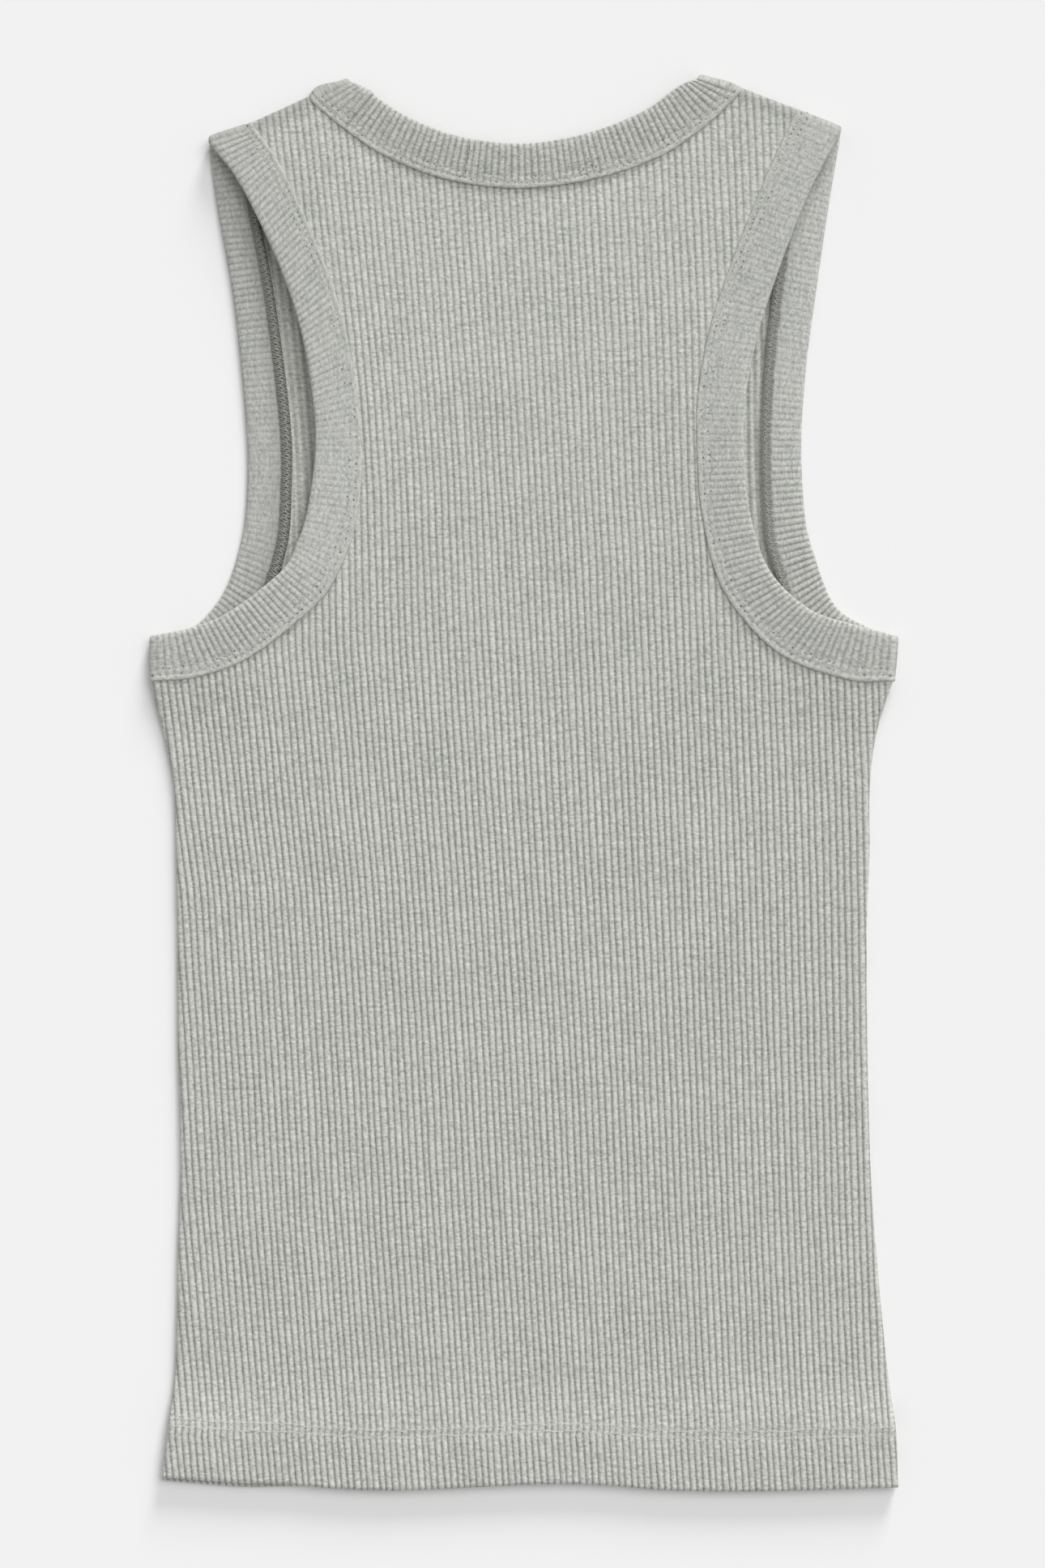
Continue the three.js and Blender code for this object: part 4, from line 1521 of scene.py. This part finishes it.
    def needle_holes(
        self, tree: bpy.types.NodeTree, axes: bpy.types.Node, colour: bpy.types.NodeSocket,
    ) -> bpy.types.NodeSocket:
        """Paints shade into the holes where the needles went through, some holes darker than others.

        Args:
            tree: the material's node tree.
            axes: the node that gives the place on the cloth, along the band and across it.
            colour: the knit's colour before.
        Returns:
            Its colour with the holes.
        """
        outer = [row.across for row in BAND_SECTION[:18]]
        turns = add(tree, MATH, {0: axes.outputs["X"], 1: STITCH_LENGTH * MM}, operation="DIVIDE")
        for number, distance in enumerate(NEEDLE_ROWS):
            way = float(np.interp(distance / BAND_WIDTH, 1 - np.array(outer[2:]), section_way()[2:18]))
            beat = add(tree, MATH, {0: turns.outputs[0], 1: 0.43 * number}, operation="ADD")
            whole = add(tree, MATH, {0: beat.outputs[0]}, operation="FLOOR")
            spread = add(tree, "ShaderNodeTexWhiteNoise", {"W": whole.outputs[0]}, noise_dimensions="1D")
            drawn = add(tree, "ShaderNodeSeparateColor", {"Color": spread.outputs["Color"]})
            part = add(tree, MATH, {0: beat.outputs[0]}, operation="FRACT")
            off = add(tree, MATH, {0: drawn.outputs["Red"], 1: -0.3, 2: part.outputs[0]},
                      operation="MULTIPLY_ADD")
            side = add(tree, MATH, {0: off.outputs[0], 1: STITCH_LENGTH * MM, 2: -0.9 * MM},
                       operation="MULTIPLY_ADD")
            gap = add(tree, MATH, {0: drawn.outputs["Green"], 1: 0.6 * MM, 2: axes.outputs["Y"]},
                      operation="MULTIPLY_ADD")
            up = add(tree, MATH, {0: gap.outputs[0], 1: -(way + 0.3) * MM}, operation="ADD")
            spot = add(tree, "ShaderNodeCombineXYZ", {"X": side.outputs[0], "Y": up.outputs[0]})
            far = add(tree, "ShaderNodeVectorMath", {0: spot.outputs[0]}, operation="LENGTH")
            near = add(tree, "ShaderNodeMapRange", {
                "Value": far.outputs["Value"], "From Min": 0.15 * MM, "From Max": 0.6 * MM,
                "To Min": 0.9, "To Max": 0.0,
            })
            depth = add(tree, MATH, {0: drawn.outputs["Blue"], 1: 0.8, 2: 0.2}, operation="MULTIPLY_ADD")
            hole = add(tree, MATH, {0: near.outputs[0], 1: depth.outputs[0]}, operation="MULTIPLY")
            pierced = add(tree, "ShaderNodeMix", {
                0: hole.outputs[0], 6: colour, 7: linear(self.hole_shade_tone),
            }, data_type="RGBA")
            colour = pierced.outputs[2]
        return colour


@dataclass(frozen=True)
class SewingThread:
    """Spun polyester sewing thread, dyed and twisted.

    It gives the eye a fine line, a little smoother than the knit, whose twist makes it pale and dark in turn.
    """

    name: str
    colour: str

    def build(self) -> bpy.types.Material:
        """Makes the material.

        Returns:
            The material.
        """
        material = bpy.data.materials.new(self.name)
        material.use_nodes = True
        tree = material.node_tree
        tree.nodes.clear()
        place = add(tree, "ShaderNodeTexCoord").outputs["Object"]

        # The twist is too fine to show, so it is drawn as spots of half a millimetre
        twist = add(tree, "ShaderNodeTexNoise", {"Vector": place, "Scale": 1 / (0.5 * MM), "Detail": 1.0})
        shade = add(tree, "ShaderNodeMapRange", {
            "Value": twist.outputs["Fac"], "To Min": 0.72, "To Max": 1.15,
        })
        hue = add(tree, "ShaderNodeVectorMath", {
            0: linear(self.colour)[:3], "Scale": shade.outputs[0],
        }, operation="SCALE")
        shader = add(tree, "ShaderNodeBsdfPrincipled", {
            "Base Color": hue.outputs["Vector"], "Roughness": 0.75, "IOR": 1.5, "Specular IOR Level": 0.3,
        })
        add(tree, "ShaderNodeOutputMaterial", {"Surface": shader.outputs["BSDF"]})
        return material


# The panels' rib: pale rounded ribs with clear valleys, darkened by painted shade
PANEL_KNIT = RibKnit("cotton_rib_knit_grey_melange", "#dedfd8", "#cacbc5", "#a9aca8", 0.7, 2.4)

# The same rib folded double and stretched round an armhole: flatter and plainer, with painted shade in its
# open needle holes
BAND_KNIT = RibKnit("cotton_rib_binding_grey_melange", "#d2d3cd", "#c0c1bc", "#a3a6a3", 0.4, 2.0, holes=True)

# The neck's strip, stretched less: darker, with clearer ribs than the armholes'
NECK_KNIT = RibKnit(
    "cotton_rib_neck_binding_grey_melange", "#d3d3cc", "#bebfb9", "#9c9f9b", 0.62, 2.3, holes=True,
)

# Dyed to match, so it shows only by its twist and by its dips; the loopers are a dull pale lace over the raw
# edge, and the dark one stands out as short strokes
MATCHED_THREAD = SewingThread("spun_polyester_thread_grey", "#d2d3cd")
LOOPER_THREAD = SewingThread("textured_polyester_looper_thread_pale_grey", "#abaca6")
DARK_THREAD = SewingThread("spun_polyester_thread_dark_grey", "#5b5e5c")


def dress(piece: bpy.types.Object, material: bpy.types.Material) -> None:
    """Gives a piece its material and its slot, lets it ride on the garment and reports it.

    Args:
        piece: the piece.
        material: its finish.
    """
    piece.data.materials.clear()
    piece.data.materials.append(material)
    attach(piece, "root")
    log.info("%s: %d faces", piece.name, len(piece.data.polygons))


class Sun(NamedTuple):
    """An even light."""

    name: str
    strength: float
    spread: float  # its width as seen from the floor, in degrees
    heading: float  # the direction it comes from, in degrees from +Y towards +X
    tilt: float  # from straight above, in degrees


@dataclass
class Studio:
    """The pale floor, the soft light and the camera straight above."""

    frame_height: float = 664.9  # height of the picture on the floor, in millimetres
    frame_middle: tuple[float, float] = (-0.65, -0.7)
    camera_z: float = 5  # how far above the floor the picture is measured
    lens: float = 100
    film: float = 36
    floor_size: float = 4
    floor_colour: str = "#f7f7f7"
    sky: float = 0.47
    suns: tuple[Sun, ...] = (Sun("key", 1.0, 38, 48, 34), Sun("low", 2.35, 18, 18, 73))

    def build(self) -> None:
        """Makes the floor, the lights and the camera."""
        made = bmesh.new()
        bmesh.ops.create_grid(made, x_segments=1, y_segments=1, size=self.floor_size)
        floor = piece_from(made, "floor")

        # Uncoated paper: nearly white, and so matt that it shows shadows and no gloss
        material = bpy.data.materials.new("pale_paper_floor")
        material.use_nodes = True
        shader = material.node_tree.nodes["Principled BSDF"]
        shader.inputs["Base Color"].default_value = linear(self.floor_colour)
        shader.inputs["Roughness"].default_value = 0.9
        shader.inputs["Specular IOR Level"].default_value = 0.0
        floor.data.materials.append(material)

        scene = bpy.context.scene
        scene.view_settings.view_transform = "Standard"
        world = bpy.data.worlds.new("studio")
        world.use_nodes = True
        world.node_tree.nodes["Background"].inputs["Color"].default_value = (1, 1, 1, 1)
        world.node_tree.nodes["Background"].inputs["Strength"].default_value = self.sky
        scene.world = world
        for sun in self.suns:
            light = bpy.data.lights.new(sun.name, "SUN")
            light.energy = sun.strength
            light.angle = math.radians(sun.spread)
            lamp = bpy.data.objects.new(sun.name, light)
            lamp.rotation_euler = (-math.radians(sun.tilt), 0, -math.radians(sun.heading))
            scene.collection.objects.link(lamp)

        camera = bpy.data.cameras.new("camera")
        camera.lens = self.lens
        camera.sensor_width = self.film
        camera.clip_end = 20
        holder = bpy.data.objects.new("camera", camera)
        distance = self.frame_height * self.lens / self.film
        x, y = self.frame_middle
        holder.location = (x * MM, y * MM, (distance + self.camera_z) * MM)
        scene.collection.objects.link(holder)
        scene.camera = holder


def main() -> None:
    """Builds the garment and its studio, piece by piece."""
    logging.basicConfig(level=logging.INFO, format="%(name)s %(message)s")
    Studio().build()
    panel_knit, band_knit, neck_knit = (finish.build() for finish in (PANEL_KNIT, BAND_KNIT, NECK_KNIT))
    matched, loopers, dark = (finish.build() for finish in (MATCHED_THREAD, LOOPER_THREAD, DARK_THREAD))

    back = Panel(
        Layer.BACK, BACK_CREASES, split=111, wall_rows=40, yoke_rows=14, wall_z=5.8, turnup_z=3.3, lap_z=5.05,
        ribs=RibLines(jog=0.7), rests_on="front_rib_cloth", flat=(0.326, 0.632), yoke_fade=0.22,
    )
    front = Panel(
        Layer.FRONT, FRONT_CREASES, split=98, wall_rows=22, yoke_rows=10, wall_z=0.6, turnup_z=2.9,
        lap_z=0.95, ribs=RibLines(jog=0.5, seed=6), rests_on="floor", flat=(0.326, 0.6),
    )
    for panel in (back, front):
        panel.make(panel_knit, matched)
    for panel in (back, front):
        panel.lay()

    neck = Band(
        "neck", NECK, NECK_WAY, rib_height=0.42, covered_shade=0.3, rounded=(0.4, 0.6), swell=(2.2, 0.8),
        join=0.08,
    )
    # This opening lies deeper in shade, so its looper strip gets more painted shade than the right one's
    left = Band(
        "left_armhole", LEFT_ARMHOLE, LEFT_WAY, rib_height=0.3, covered_shade=0.45, rounded=(1.2, 0.3),
        front_ribs=0.9, seed=12,
    )
    right = Band(
        "right_armhole", RIGHT_ARMHOLE, RIGHT_WAY, rib_height=0.3, covered_shade=0.22, rounded=(0.8, 0.3),
        front_shade=0, front_ribs=1.3, seed=13,
    )
    for band, knit in ((neck, neck_knit), (left, band_knit), (right, band_knit)):
        cloth, *sewn = band.make(knit, matched, loopers)
        if band is neck:
            sewn.append(LabelTacks(band).make(dark))
        band.lay(cloth, sewn)


if __name__ == "__main__":
    main()
